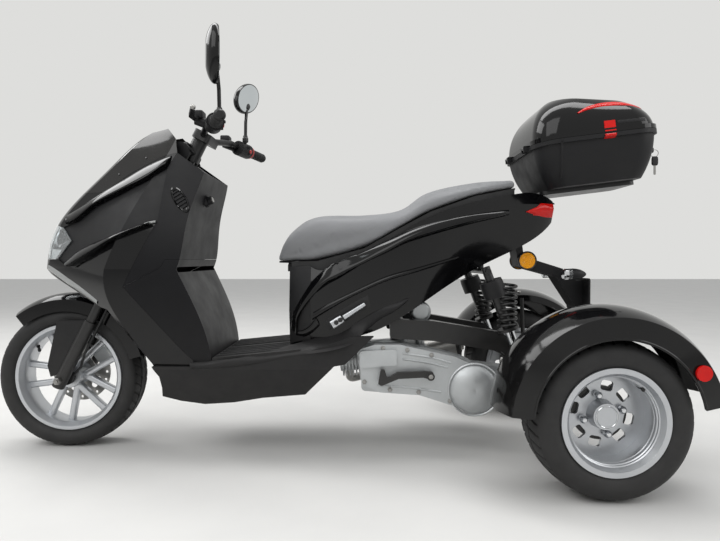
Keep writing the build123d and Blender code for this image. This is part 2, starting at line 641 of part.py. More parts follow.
def belly(inset):
    """Belly outline crossed with its front-view trapezium, drawn in by an inset."""
    with BuildPart() as tray:
        with BuildSketch(Plane.XZ.offset(-300)):
            with BuildLine():
                Polyline(*PAN, close=True)
            make_face()
            if inset:
                offset(amount=-inset, kind=Kind.INTERSECTION, mode=Mode.REPLACE)
        extrude(amount=600)
        with BuildSketch(Plane.YZ.offset(-2000), mode=Mode.PRIVATE) as face:
            with BuildLine():
                Polyline(*PAN_SIDE, close=True)
            make_face()
            if inset:
                offset(amount=-inset, kind=Kind.INTERSECTION, mode=Mode.REPLACE)
        extrude(face.sketch, amount=4000, mode=Mode.INTERSECT)
    return tray.part


with BuildPart() as belly_pan:
    add(belly(0))
    add(belly(PANEL_WALL), mode=Mode.SUBTRACT)
    add(belly(PANEL_WALL).moved(Location((0, 0, 40))), mode=Mode.SUBTRACT)
    add(side_prism(rear([(748, 296), (748, 500), (500, 500), (500, 296)]), -178, 178), mode=Mode.SUBTRACT)
belly_pan.part.label = "belly_pan"
export_step(belly_pan.part, "parts/belly_pan.step")

FLOOR = (front([(-524, 326), (-524, 326 - FLOOR_THICKNESS)])
         + rear([(838, 352 - FLOOR_THICKNESS + SEAM), (838, 352)]))
with BuildPart() as floorboard:
    add(side_prism(FLOOR, -FLOOR_HALF, FLOOR_HALF))
floorboard.part.label = "floorboard"
export_step(floorboard.part, "parts/floorboard.step")

# Rear bodywork: sections across the vehicle from the seat pedestal to the tail.
# Columns: ahead of rear axle, low z, low half, waist z, waist half, top z, top half.
TAIL_ROWS = (
    (884, 352, 84, 470, 104, 604, 84),
    (800, 372, 132, 520, 152, 612, 112),
    (672, 384, 150, 600, 174, 645, 142),
    (522, 448, 152, 690, 180, 722, 160),
    (352, 560, 128, 762, 170, 800, 150),
    (172, 652, 100, 802, 138, 842, 118),
    (20, 752, 62, 796, 86, 820, 74),
)


def tail_loft(inset, stretch, ends):
    """Rear body through its cross sections, drawn in by an inset, ends moved in."""
    with BuildPart() as body:
        for index, (dx, low, low_y, waist, waist_y, top, top_y) in enumerate(TAIL_ROWS):
            x = REAR_AXLE_X + dx
            if index == 0:
                x = x - ends
            if index == len(TAIL_ROWS) - 1:
                x = x + ends
            half = ((low_y - inset, low - stretch), (waist_y - inset, waist), (top_y - inset, top + stretch))
            with BuildSketch(Plane.YZ.offset(x)):
                with BuildLine():
                    Polyline(*half, *[(-y, z) for y, z in reversed(half)], close=True)
                make_face()
        loft()
    return body.part


LAMP_BOX = ((96, 772), (96, 790), (70, 812), (-40, 812), (-40, 762))
PEDESTAL_BACK = 812.0
PANEL_SPAN = ((PEDESTAL_BACK, 200), (PEDESTAL_BACK, 1000), (-100, 1000), (-100, 200))
with BuildPart() as tail_skin:
    add(tail_loft(0, 0, 0))
    add(tail_loft(PANEL_WALL, STRETCH, PANEL_WALL), mode=Mode.SUBTRACT)

for side, sign in SIDES:
    with BuildPart() as side_panel:
        add(tail_skin.part)
        low = SEAM / 2 if sign > 0 else -300
        high = 300 if sign > 0 else -SEAM / 2
        add(side_prism(rear(PANEL_SPAN), low, high), mode=Mode.INTERSECT)
        add(side_prism(rear(LAMP_BOX), -300, 300), mode=Mode.SUBTRACT)
    side_panel.part.label = "side_panel_" + side
    export_step(side_panel.part, "parts/side_panel_" + side + ".step")

with BuildPart() as tail_lamp:
    add(tail_loft(0, 0, 0))
    with BuildSketch(Plane.XZ.offset(-300)):
        with BuildLine():
            Polyline(*rear(LAMP_BOX), close=True)
        make_face()
        offset(amount=-SEAM, kind=Kind.INTERSECTION, mode=Mode.REPLACE)
    extrude(amount=600, mode=Mode.INTERSECT)
tail_lamp.part.label = "tail_lamp"
export_step(tail_lamp.part, "parts/tail_lamp.step")

# Seat hinge: a pin in two lugs on the pedestal and a barrel under the seat pan.
HINGE_X = REAR_AXLE_X + 888.0
HINGE_Z = 612.0
PIN_RADIUS = 4.0
BARREL_RADIUS = 9.0
BARREL_CLEAR = 2.0
LUG_INNER = 30.0
LUG_OUTER = 42.0
LUG_HALF = 8.0
LUG_LOW = 590.0
LUG_OVER = 5.0
LUG_SLOPE = 1.2
hinge_lug = [(HINGE_X - LUG_HALF, LUG_LOW), (HINGE_X + LUG_HALF, LUG_LOW), (HINGE_X + LUG_HALF, HINGE_Z - LUG_SLOPE),
             (HINGE_X, HINGE_Z + LUG_OVER), (HINGE_X - LUG_HALF, HINGE_Z + LUG_OVER)]
with BuildPart() as seat_pedestal:
    add(tail_skin.part)
    with BuildSketch(Plane.YZ.offset(REAR_AXLE_X + PEDESTAL_BACK + SEAM)):
        Rectangle(800, 2400)
    extrude(amount=400, mode=Mode.INTERSECT)
    add(bar((HINGE_X, -LUG_INNER, HINGE_Z), (HINGE_X, LUG_INNER, HINGE_Z), BARREL_RADIUS + BARREL_CLEAR),
        mode=Mode.SUBTRACT)
    add(bar((HINGE_X, -LUG_OUTER, HINGE_Z), (HINGE_X, LUG_OUTER, HINGE_Z), PIN_RADIUS))
    add(side_prism(hinge_lug, LUG_INNER, LUG_OUTER))
    add(side_prism(hinge_lug, -LUG_OUTER, -LUG_INNER))
seat_pedestal.part.label = "seat_pedestal"
export_step(seat_pedestal.part, "parts/seat_pedestal.step")

# Seat: stepped cushion over a thin pan.
# Columns: ahead of rear axle, underside z, top z, half width.
SEAT_ROWS = (
    (926, 619, 642, 40),
    (870, 618, 738, 86),
    (790, 620, 776, 116),
    (640, 660, 777, 142),
    (520, 728, 792, 156),
    (430, 776, 850, 152),
    (290, 826, 881, 138),
    (150, 856, 896, 104),
)
PAN_THICKNESS = 6.0
PAN_MARGIN = 8.0
pan_low = [(REAR_AXLE_X + dx, low) for dx, low, top, half in SEAT_ROWS]
pan_top = [(x, z + PAN_THICKNESS) for x, z in reversed(pan_low)]
pan_plan = [(REAR_AXLE_X + dx, half - PAN_MARGIN) for dx, low, top, half in SEAT_ROWS]
with BuildPart() as seat_pan:
    add(side_prism(pan_low + pan_top, -300, 300))
    with BuildSketch(Plane.XY.offset(500)):
        with BuildLine():
            Polyline(*pan_plan, *[(x, -y) for x, y in reversed(pan_plan)], close=True)
        make_face()
    extrude(amount=500, mode=Mode.INTERSECT)
    add(bar((HINGE_X, 2 - LUG_INNER, HINGE_Z), (HINGE_X, LUG_INNER - 2, HINGE_Z), BARREL_RADIUS))
    add(bar((HINGE_X, -LUG_INNER, HINGE_Z), (HINGE_X, LUG_INNER, HINGE_Z), PIN_RADIUS + RUN_CLEARANCE),
        mode=Mode.SUBTRACT)
seat_pan.part.label = "seat_pan"
export_step(seat_pan.part, "parts/seat_pan.step")

SEAT_BROW = 0.55
UNDER_SEAT_FLOOR = 500.0
UNDER_SEAT_OVER = 50.0
seat_front, seat_back = pan_low[0][0] + UNDER_SEAT_OVER, pan_low[-1][0] - UNDER_SEAT_OVER
under_seat = [(x, z + PAN_THICKNESS + SEAM) for x, z in pan_low]
under_seat = [(seat_front, UNDER_SEAT_FLOOR), (seat_front, under_seat[0][1]), *under_seat,
              (seat_back, under_seat[-1][1]), (seat_back, UNDER_SEAT_FLOOR)]
with BuildPart() as seat:
    for dx, low, top, half in SEAT_ROWS:
        brow = low + SEAT_BROW * (top - low)
        with BuildSketch(Plane.YZ.offset(REAR_AXLE_X + dx)):
            with BuildLine():
                Polyline((-half, brow), (-half + 3, low), (half - 3, low), (half, brow))
                ThreePointArc((half, brow), (0, top), (-half, brow))
            make_face()
    loft(ruled=True)
    add(side_prism(under_seat, -300, 300), mode=Mode.SUBTRACT)
seat.part.label = "seat"
export_step(seat.part, "parts/seat.step")

# Storage bucket under the seat, open at the top.
BUCKET = ((770, 604), (760, 480), (700, 420), (500, 470), (470, 560), (470, 714))
BUCKET_HALF = 106.0
with BuildPart() as storage_bucket:
    add(side_prism(rear(BUCKET), -BUCKET_HALF, BUCKET_HALF))
    with BuildSketch(Plane.XZ.offset(-BUCKET_HALF + PANEL_WALL)):
        with BuildLine():
            Polyline(*rear(BUCKET), close=True)
        make_face()
        offset(amount=-PANEL_WALL, kind=Kind.INTERSECTION, mode=Mode.REPLACE)
    extrude(amount=2 * BUCKET_HALF - 2 * PANEL_WALL, mode=Mode.SUBTRACT)
    add(side_prism(rear([(764, 580), (764, 700), (474, 800), (474, 690)]), PANEL_WALL - BUCKET_HALF,
                   BUCKET_HALF - PANEL_WALL), mode=Mode.SUBTRACT)
storage_bucket.part.label = "storage_bucket"
export_step(storage_bucket.part, "parts/storage_bucket.step")


# Top case: tilted box with a rim, a base and a lid hinged at its front edge.
CASE_BACK = 100.0
CASE_FLOOR = 872.0
case_fore = (cos(radians(CASE_TILT)), 0, -sin(radians(CASE_TILT)))
case_up = (sin(radians(CASE_TILT)), 0, cos(radians(CASE_TILT)))
CASE_PLANE = Plane(origin=(REAR_AXLE_X - CASE_BACK, 0, CASE_FLOOR), x_dir=case_fore, z_dir=case_up)
CASE_LENGTH = 380.0
CASE_WIDTH = 404.0
CASE_CORNER = 72.0
# Columns: height, length share, width share, corner radius, shift forward, lean of the section.
BASE_ROWS = ((0, 0.78, 0.76, 46, 0, 0), (45, 0.90, 0.88, 60, 0, 0), (CASE_SPLIT, 1.0, 1.0, CASE_CORNER, 0, 0))
LID_ROWS = ((CASE_SPLIT + 1, 1.0, 1.0, CASE_CORNER, 0, 0), (204, 0.94, 0.96, 76, -6, -5),
            (262, 0.70, 0.76, 80, -18, -10))


def case_loft(rows, inset, low, high):
    """Rounded box through its rows, drawn in by an inset, end rows moved by low and high."""
    with BuildPart() as box:
        for index, (z, length, width, corner, shift, lean) in enumerate(rows):
            level = z
            if index == 0:
                level = z + low
            if index == len(rows) - 1:
                level = z + high
            with BuildSketch(CASE_PLANE.offset(level).rotated((0, lean, 0))):
                with Locations((shift, 0)):
                    RectangleRounded(CASE_LENGTH * length - 2 * inset, CASE_WIDTH * width - 2 * inset,
                                     corner - inset)
        loft()
    return box.part


def case_bar(x, z, y_low, y_high, radius):
    """Round bar across the case at a place in its own tilted frame."""
    return bar(tuple(CASE_PLANE.from_local_coords((x, y_low, z))),
               tuple(CASE_PLANE.from_local_coords((x, y_high, z))), radius)


RIM_OUT = 7.0
RIM_HEIGHT = 13.0
LID_HINGE = (CASE_LENGTH / 2 + RIM_OUT + 8, CASE_SPLIT)
LID_PIN = 3.0
LID_BARREL = 7.0
with BuildPart() as case_base:
    add(case_loft(BASE_ROWS, 0, 0, 0))
    with BuildSketch(CASE_PLANE.offset(CASE_SPLIT - RIM_HEIGHT)):
        RectangleRounded(CASE_LENGTH + 2 * RIM_OUT, CASE_WIDTH + 2 * RIM_OUT, CASE_CORNER + RIM_OUT)
    extrude(amount=RIM_HEIGHT)
    add(case_loft(BASE_ROWS, CASE_WALL, CASE_WALL, STRETCH), mode=Mode.SUBTRACT)
    for y in (-110, 80):
        add(case_bar(LID_HINGE[0], LID_HINGE[1], y, y + 30, LID_PIN))
        for lug in (y, y + 24):
            with BuildSketch(CASE_PLANE.offset(CASE_SPLIT - RIM_HEIGHT)):
                with Locations((CASE_LENGTH / 2 + 8, lug + 3)):
                    Rectangle(28, 6)
            extrude(amount=RIM_HEIGHT + 4)
case_base.part.label = "case_base"
export_step(case_base.part, "parts/case_base.step")

with BuildPart() as case_lid:
    add(case_loft(LID_ROWS, 0, 0, 0))
    with BuildSketch(CASE_PLANE.offset(CASE_SPLIT + 1)):
        RectangleRounded(CASE_LENGTH + 2 * RIM_OUT, CASE_WIDTH + 2 * RIM_OUT, CASE_CORNER + RIM_OUT)
    extrude(amount=RIM_HEIGHT)
    add(case_loft(LID_ROWS, CASE_WALL, -STRETCH, -CASE_WALL), mode=Mode.SUBTRACT)
    for y in (-110, 80):
        with BuildSketch(CASE_PLANE.offset(CASE_SPLIT + 1)):
            with Locations((CASE_LENGTH / 2 + 6, y + 15)):
                Rectangle(26, 16)
        extrude(amount=7)
        add(case_bar(LID_HINGE[0], LID_HINGE[1], y + 7, y + 23, LID_BARREL))
        add(case_bar(LID_HINGE[0], LID_HINGE[1], y - 1, y + 31, LID_PIN + RUN_CLEARANCE), mode=Mode.SUBTRACT)
    for y in (-110, 80):
        for lug in (y, y + 24):
            with BuildSketch(CASE_PLANE.offset(CASE_SPLIT)):
                with Locations((CASE_LENGTH / 2 + 8, lug + 3)):
                    Rectangle(32, 8)
            extrude(amount=7, mode=Mode.SUBTRACT)
case_lid.part.label = "case_lid"
export_step(case_lid.part, "parts/case_lid.step")

# Lock with its key at the middle of the case's back.
with BuildPart() as case_lock:
    with BuildSketch(CASE_PLANE.offset(CASE_SPLIT - RIM_HEIGHT - 44)):
        with Locations((-CASE_LENGTH / 2 - 6, 0)):
            RectangleRounded(26, 70, 6)
    extrude(amount=42)
    add(case_loft(BASE_ROWS, -BEAD_GAP, 0, 0), mode=Mode.SUBTRACT)
    lock_face = tuple(CASE_PLANE.from_local_coords((-CASE_LENGTH / 2 - 16, 0, CASE_SPLIT - RIM_HEIGHT - 24)))
    lock_end = tuple(CASE_PLANE.from_local_coords((-CASE_LENGTH / 2 - 30, 0, CASE_SPLIT - RIM_HEIGHT - 24)))
    add(bar(lock_face, lock_end, 11))
case_lock.part.label = "case_lock"
export_step(case_lock.part, "parts/case_lock.step")

# Luggage rack: two posts off the tail cross tube and the plate under the case.
RACK_HALF = 44.0
RACK_RADIUS = 9.0
RACK_PLATE = 13.0
RACK_SIZE = (310.0, 180.0)
RACK_SHIFT = 8.0
POST_REACH = 150.0
TAIL_TUBE = (132.0, 775.0)
TAIL_TUBE_HALF = 66.0
TAIL_TUBE_RADIUS = 10.0
tail_tube_x = REAR_AXLE_X + TAIL_TUBE[0]
with BuildPart() as rack:
    for sign in (1, -1):
        y = sign * RACK_HALF
        post_top = tuple(CASE_PLANE.from_local_coords((POST_REACH, y, -RACK_PLATE / 2)))
        add(bar((tail_tube_x, y, TAIL_TUBE[1]), post_top, RACK_RADIUS))
    add(bar((tail_tube_x, -100, TAIL_TUBE[1]), (tail_tube_x, 100, TAIL_TUBE[1]), TAIL_TUBE_RADIUS + BEAD_GAP),
        mode=Mode.SUBTRACT)
    with BuildSketch(Plane.XY.offset(TAIL_TUBE[1] - 40)):
        with Locations((tail_tube_x, 0)):
            Rectangle(60, 200)
    extrude(amount=40, mode=Mode.SUBTRACT)
    with BuildSketch(CASE_PLANE.offset(-RACK_PLATE - SEAM)):
        with Locations((RACK_SHIFT, 0)):
            RectangleRounded(*RACK_SIZE, 24)
    extrude(amount=RACK_PLATE)
rack.part.label = "rack"
export_step(rack.part, "parts/rack.step")

# Frame: head tube, down tube, floor rails running up to the tail, cross tubes and stays.
# Columns of the rail: ahead of the rear axle, half spread, height.
RAIL = ((800, 120, 262), (690, 126, 372), (600, 128, 470), (455, 126, 625), (300, 92, 720), (132, 66, 775))
FLOOR_TUBE_Z = 262.0
CROSS_X = FRONT_AXLE_X - 425.0
CROSS_RADIUS = 16.0
DOWN_TUBE_RADIUS = 19.0
# Columns of the down tube: ahead of the front axle, height.
DOWN_TUBE = ((-340, 400), (-420, FLOOR_TUBE_Z), (-520, FLOOR_TUBE_Z))
SHOCK_TOP = (257, 592)
SHOCK_LOW = (166, 352)
SHOCK_PIN = 9.0
SHOCK_PIN_HALF = 190.0
SHOCK_POST = (80.0, 742.0)
STAY_RADIUS = 8.0
NOSE_STAY_RADIUS = 10.0
STAY_REACH = 470.0
STAY_Z = 640.0


def tail_stays():
    """Stays from the rails out to the inside of the rear body."""
    with BuildPart() as stays:
        add(cross_bar(REAR_AXLE_X + 600, 470, 300, STAY_RADIUS))
        add(cross_bar(REAR_AXLE_X + 300, 720, 300, STAY_RADIUS))
        add(tail_loft(PANEL_WALL + BEAD_GAP, STRETCH, PANEL_WALL), mode=Mode.INTERSECT)
        add(side_prism(rear([(700, 400), (700, 800), (200, 800), (200, 400)]), -115, 115), mode=Mode.SUBTRACT)
    return stays.part


def nose_stays():
    """Stays from the steering head forward and out to the inside of the fairing."""
    with BuildPart() as stays:
        add(bar(on_axis(STAY_REACH), (FRONT_AXLE_X + 200, 0, 690), NOSE_STAY_RADIUS))
        add(cross_bar(on_axis(STAY_REACH)[0], STAY_Z, 300, STAY_RADIUS))
        add(fairing_loft(UPPER_ROWS, PANEL_WALL + BEAD_GAP, STRETCH), mode=Mode.INTERSECT)
        add(bar(on_axis(300), on_axis(640), HEAD_TUBE_RADIUS - 2), mode=Mode.SUBTRACT)
    return stays.part


def shield_stay():
    """Stay from the down tube back to the leg shield."""
    with BuildPart() as stay:
        add(bar((FRONT_AXLE_X - 340, 0, 400), (FRONT_AXLE_X - 600, 0, 400), NOSE_STAY_RADIUS))
        add(fairing_loft(LOWER_ROWS, PANEL_WALL + BEAD_GAP, STRETCH), mode=Mode.INTERSECT)
    return stay.part


shock_top_x = REAR_AXLE_X + SHOCK_TOP[0]
with BuildPart() as frame:
    add(bar(on_axis(HEAD_TUBE_START), on_axis(HEAD_TUBE_START + HEAD_TUBE_LENGTH), HEAD_TUBE_RADIUS))
    add(tube([on_axis(430)] + [(x, 0, z) for x, z in front(DOWN_TUBE)], DOWN_TUBE_RADIUS, 60))
    add(bar(on_axis(300), on_axis(560), STEM_RADIUS + RUN_CLEARANCE), mode=Mode.SUBTRACT)
    add(cross_bar(CROSS_X, FLOOR_TUBE_Z, 126, CROSS_RADIUS))
    for sign in (1, -1):
        points = [(CROSS_X, sign * RAIL[0][1], FLOOR_TUBE_Z)]
        points += [(REAR_AXLE_X + dx, sign * y, z) for dx, y, z in RAIL]
        add(tube(points, RAIL_RADIUS, 60))
        add(bar((shock_top_x, sign * SHOCK_POST[0], SHOCK_POST[1]),
                (shock_top_x, sign * SHOCK_POST[0], SHOCK_TOP[1]), SHOCK_PIN))
    add(cross_bar(REAR_AXLE_X + RAIL[3][0] + 4.6, RAIL[3][2], RAIL[3][1], TAIL_TUBE_RADIUS))
    add(cross_bar(tail_tube_x, TAIL_TUBE[1], TAIL_TUBE_HALF, TAIL_TUBE_RADIUS))
    add(cross_bar(shock_top_x, SHOCK_TOP[1], SHOCK_PIN_HALF, SHOCK_PIN))
    add(tail_stays())
    add(nose_stays())
    add(shield_stay())
frame.part.label = "frame"
export_step(frame.part, "parts/frame.step")

# Engine block with a forward cylinder, an air box behind it and a final-drive case to the axle.
BELT_COVER = ((660, 347), (607, 363), (529, 363), (357, 325), (300, 300), (217, 240), (225, 185), (300, 146),
              (367, 172), (467, 204), (592, 213), (648, 238))
CRANKCASE = ((650, 200), (650, 335), (440, 350), (420, 330), (420, 210), (480, 190))
DRIVE_CASE = ((430, 300), (300, 290), (-40, 250), (-52, 212), (-40, 175), (300, 150), (430, 215))
COVER_IN = 96.0
COVER_OUT = 170.0
ENGINE_RIGHT = -118.0
DRIVE_RIGHT = 20.0
CYLINDER = ((640, 290), (722, 284))
CYLINDER_RADIUS = 40.0
FIN_RADIUS = 57.0
FIN_START = 16.0
FIN_THICKNESS = 4.0
FIN_PITCH = 11.0
FINS = 6
PIVOT = (520, 408)
PIVOT_RADIUS = 24.0
HANGER_RADIUS = 30.0
AIR_BOX = (454, 458)
AIR_BOX_RADIUS = 34.0
AIR_BOX_SIDES = (16.0, 88.0)
AIR_POST_RADIUS = 14.0
AIR_DOME = 12.0
air_x = REAR_AXLE_X + AIR_BOX[0]
air_out = AIR_BOX_SIDES[1]
air_flat = AIR_BOX_RADIUS - AIR_DOME
cylinder_line = [(REAR_AXLE_X + dx, -10, z) for dx, z in CYLINDER]
cylinder_foot = Plane(origin=cylinder_line[0], z_dir=Vector(*cylinder_line[1]) - Vector(*cylinder_line[0]))
pivot_x = REAR_AXLE_X + PIVOT[0]
with BuildPart() as engine_block:
    add(rounded_prism(rear(CRANKCASE), ENGINE_RIGHT, COVER_IN - SEAM, 14))
    add(bar(*cylinder_line, CYLINDER_RADIUS))
    for index in range(FINS):
        with BuildSketch(cylinder_foot.offset(FIN_START + index * FIN_PITCH)):
            Circle(FIN_RADIUS)
        extrude(amount=FIN_THICKNESS)
    add(rounded_prism(rear(DRIVE_CASE), DRIVE_RIGHT, COVER_IN - SEAM, 10))
    add(cross_bar(REAR_AXLE_X, REAR_TYRE_RADIUS, 200, AXLE_TUBE_RADIUS + BEAD_GAP), mode=Mode.SUBTRACT)
    add(bar((pivot_x, 0, 330), (pivot_x, 0, PIVOT[1] - PIVOT_RADIUS - SEAM), HANGER_RADIUS))
    add(bar((air_x, 50, 320), (air_x, 50, AIR_BOX[1]), AIR_POST_RADIUS))
    with BuildSketch(Plane(origin=(air_x, 0, AIR_BOX[1]))):
        with BuildLine():
            Polyline((air_flat, air_out), (0, air_out), (0, AIR_BOX_SIDES[0]), (AIR_BOX_RADIUS, AIR_BOX_SIDES[0]),
                     (AIR_BOX_RADIUS, air_out - AIR_DOME))
            RadiusArc((AIR_BOX_RADIUS, air_out - AIR_DOME), (air_flat, air_out), -AIR_DOME)
        make_face()
    revolve(axis=Axis((air_x, 0, AIR_BOX[1]), (0, 1, 0)))
engine_block.part.label = "engine_block"
export_step(engine_block.part, "parts/engine_block.step")

# Belt cover on the left with its domed end cap and the raised cooling duct.
END_COVER = (295, 222)
END_COVER_RADIUS = 76.0
END_COVER_DOME = 20.0
DUCT = ((655, 292), (655, 344), (540, 350), (540, 300))
DUCT_PROUD = 12.0
end_x = REAR_AXLE_X + END_COVER[0]
with BuildPart() as belt_cover:
    add(rounded_prism(rear(BELT_COVER), COVER_IN, COVER_OUT, 12))
    with BuildSketch(Plane(origin=(end_x, 0, END_COVER[1]))):
        with BuildLine():
            Polyline((0, COVER_OUT + END_COVER_DOME), (0, COVER_IN), (END_COVER_RADIUS, COVER_IN),
                     (END_COVER_RADIUS, COVER_OUT))
            ThreePointArc((END_COVER_RADIUS, COVER_OUT),
                          (0.7 * END_COVER_RADIUS, COVER_OUT + 0.68 * END_COVER_DOME),
                          (0, COVER_OUT + END_COVER_DOME))
        make_face()
    revolve(axis=Axis((end_x, 0, END_COVER[1]), (0, 1, 0)))
    add(rounded_prism(rear(DUCT), COVER_OUT - 4, COVER_OUT + DUCT_PROUD, 8))
belt_cover.part.label = "belt_cover"
export_step(belt_cover.part, "parts/belt_cover.step")

# Kick lever: a boss on the cover and a bent arm with its pedal turned up.
KICK = (436, 269)
KICK_ARM = ((428, 258), (460, 266), (535, 262), (588, 240), (598, 246), (590, 290), (578, 290), (570, 264),
            (538, 282), (455, 286), (428, 282))
KICK_BOSS = 12.0
kick_x = REAR_AXLE_X + KICK[0]
with BuildPart() as kick_lever:
    add(bar((kick_x, COVER_OUT + BEAD_GAP, KICK[1]), (kick_x, COVER_OUT + 34, KICK[1]), KICK_BOSS))
    add(rounded_prism(rear(KICK_ARM), COVER_OUT + 18, COVER_OUT + 32, 4))
kick_lever.part.label = "kick_lever"
export_step(kick_lever.part, "parts/kick_lever.step")

# Rear axle tube with fender struts, and the swing frame beams that carry it.
STRUT_Y = 295.6
STRUT_RADIUS = 8.0
STRUT_ANGLES = (28, 88, 148)
STRUT_REACH = FENDER_RADIUS - 34.0
COLLAR_RADIUS = 46.0
with BuildPart() as rear_axle:
    add(cross_bar(REAR_AXLE_X, REAR_TYRE_RADIUS, axle_end, AXLE_TUBE_RADIUS))
    for sign in (1, -1):
        add(bar((REAR_AXLE_X, sign * (STRUT_Y - 11), REAR_TYRE_RADIUS),
                (REAR_AXLE_X, sign * (STRUT_Y + 5), REAR_TYRE_RADIUS), COLLAR_RADIUS))
        for angle in STRUT_ANGLES:
            strut_x = REAR_AXLE_X + STRUT_REACH * cos(radians(angle))
            strut_z = REAR_TYRE_RADIUS + STRUT_REACH * sin(radians(angle))
            add(bar((REAR_AXLE_X, sign * STRUT_Y, REAR_TYRE_RADIUS), (strut_x, sign * STRUT_Y, strut_z),
                    STRUT_RADIUS))
        add(bar((REAR_AXLE_X, sign * (axle_end - STUB_LENGTH - 4), REAR_TYRE_RADIUS),
                (REAR_AXLE_X, sign * (axle_end + 1), REAR_TYRE_RADIUS), STUB_RADIUS + RUN_CLEARANCE),
            mode=Mode.SUBTRACT)
rear_axle.part.label = "rear_axle"
export_step(rear_axle.part, "parts/rear_axle.step")

BEAM = ((558, 439), (420, 434), (204, 398), (150, 358), (24, 262), (-30, 240), (-40, 200), (20, 178),
        (60, 220), (160, 300), (204, 336), (420, 370), (558, 378))
shock_low_x = REAR_AXLE_X + SHOCK_LOW[0]
with BuildPart() as swing_frame:
    for sign in (1, -1):
        beam_y = sign * BEAM_HALF_SPREAD - BEAM_WIDTH / 2
        add(rounded_prism(rear(BEAM), beam_y, beam_y + BEAM_WIDTH, 8))
        add(bar((shock_low_x, sign * BEAM_HALF_SPREAD, SHOCK_LOW[1]),
                (shock_low_x, sign * SHOCK_PIN_HALF, SHOCK_LOW[1]), SHOCK_PIN))
    add(cross_bar(pivot_x, PIVOT[1], BEAM_HALF_SPREAD, PIVOT_RADIUS))
    add(cross_bar(REAR_AXLE_X, REAR_TYRE_RADIUS, 200, AXLE_TUBE_RADIUS + BEAD_GAP), mode=Mode.SUBTRACT)
swing_frame.part.label = "swing_frame"
export_step(swing_frame.part, "parts/swing_frame.step")

# Shock absorbers: the damper with its eyes and spring seats, and the coil spring around it.
SPRING_RADIUS = 27.0
WIRE_RADIUS = 4.5
SPRING_TURNS = 8
SEAT_RADIUS = 34.0
LOW_SEAT = 60.0
LOW_SEAT_THICKNESS = 10.0
TOP_SEAT = 44.0
shock_rise = Vector(shock_top_x - shock_low_x, 0, SHOCK_TOP[1] - SHOCK_LOW[1])
shock_span = shock_rise.length
spring_start = LOW_SEAT + LOW_SEAT_THICKNESS + WIRE_RADIUS + BEAD_GAP
spring_length = shock_span - TOP_SEAT - WIRE_RADIUS - BEAD_GAP - spring_start
# Columns: start above the lower eye, length, radius.
DAMPER = ((-14, 28, 16), (10, LOW_SEAT, 13), (LOW_SEAT, LOW_SEAT_THICKNESS, SEAT_RADIUS),
          (LOW_SEAT + 6, shock_span - 100, 16), (shock_span - TOP_SEAT, 12, SEAT_RADIUS),
          (shock_span - 40, 54, 14))
for side, sign in SIDES:
    low = Vector(shock_low_x, sign * SHOCK_HALF_SPREAD, SHOCK_LOW[1])
    foot = Plane(origin=tuple(low), x_dir=(0, 1, 0), z_dir=tuple(shock_rise))
    spring_foot = foot.offset(spring_start)
    with BuildPart() as shock:
        for reach, length, radius in DAMPER:
            with BuildSketch(foot.offset(reach)):
                Circle(radius)
            extrude(amount=length)
        for x, z in ((shock_top_x, SHOCK_TOP[1]), (shock_low_x, SHOCK_LOW[1])):
            add(bar((x, sign * 100, z), (x, sign * 220, z), SHOCK_PIN + BEAD_GAP), mode=Mode.SUBTRACT)
        with BuildLine(spring_foot):
            coil = Helix(spring_length / SPRING_TURNS, spring_length, SPRING_RADIUS)
        with BuildSketch(Plane(origin=coil @ 0, z_dir=coil % 0)):
            Circle(WIRE_RADIUS)
        sweep(path=coil, is_frenet=True)
    shock.part.label = "shock_" + side
    export_step(shock.part, "parts/shock_" + side + ".step")

# Rear mudguards over the wheels.
FENDER_START = 4.0
FENDER_SWEEP = 166.0
lip_in = FENDER_RADIUS - 46.0
lip_out = FENDER_RADIUS - 80.0
for side, sign in SIDES:
    start = radians(FENDER_START)
    with BuildPart() as rear_fender:
        with BuildSketch(Plane(origin=(REAR_AXLE_X, 0, REAR_TYRE_RADIUS), x_dir=(cos(start), 0, sin(start)),
                               z_dir=(-sin(start), 0, cos(start)))):
            with BuildLine():
                Line((lip_in, sign * 304), (FENDER_RADIUS - 22, sign * 306))
                ThreePointArc((FENDER_RADIUS - 22, sign * 306), (FENDER_RADIUS, sign * 400),
                              (FENDER_RADIUS - 26, sign * 506))
                Polyline((FENDER_RADIUS - 26, sign * 506), (lip_out, sign * 512), (lip_out, sign * 507),
                         (FENDER_RADIUS - 28, sign * 501))
                ThreePointArc((FENDER_RADIUS - 28, sign * 501), (FENDER_RADIUS - FENDER_WALL, sign * 400),
                              (FENDER_RADIUS - 24, sign * 310))
                Polyline((FENDER_RADIUS - 24, sign * 310), (lip_in, sign * 308), (lip_in, sign * 304))
            make_face()
        revolve(axis=REAR_AXIS, revolution_arc=-FENDER_SWEEP)
    rear_fender.part.label = "rear_fender_" + side
    export_step(rear_fender.part, "parts/rear_fender_" + side + ".step")

with BuildPart() as fender_reflectors:
    for sign in (1, -1):
        angle = radians(147)
        reach = FENDER_RADIUS - 54
        x = REAR_AXLE_X + reach * cos(angle)
        z = REAR_TYRE_RADIUS + reach * sin(angle)
        add(bar((x, sign * 511.5, z), (x, sign * 518, z), 20))
fender_reflectors.part.label = "fender_reflectors"
export_step(fender_reflectors.part, "parts/fender_reflectors.step")

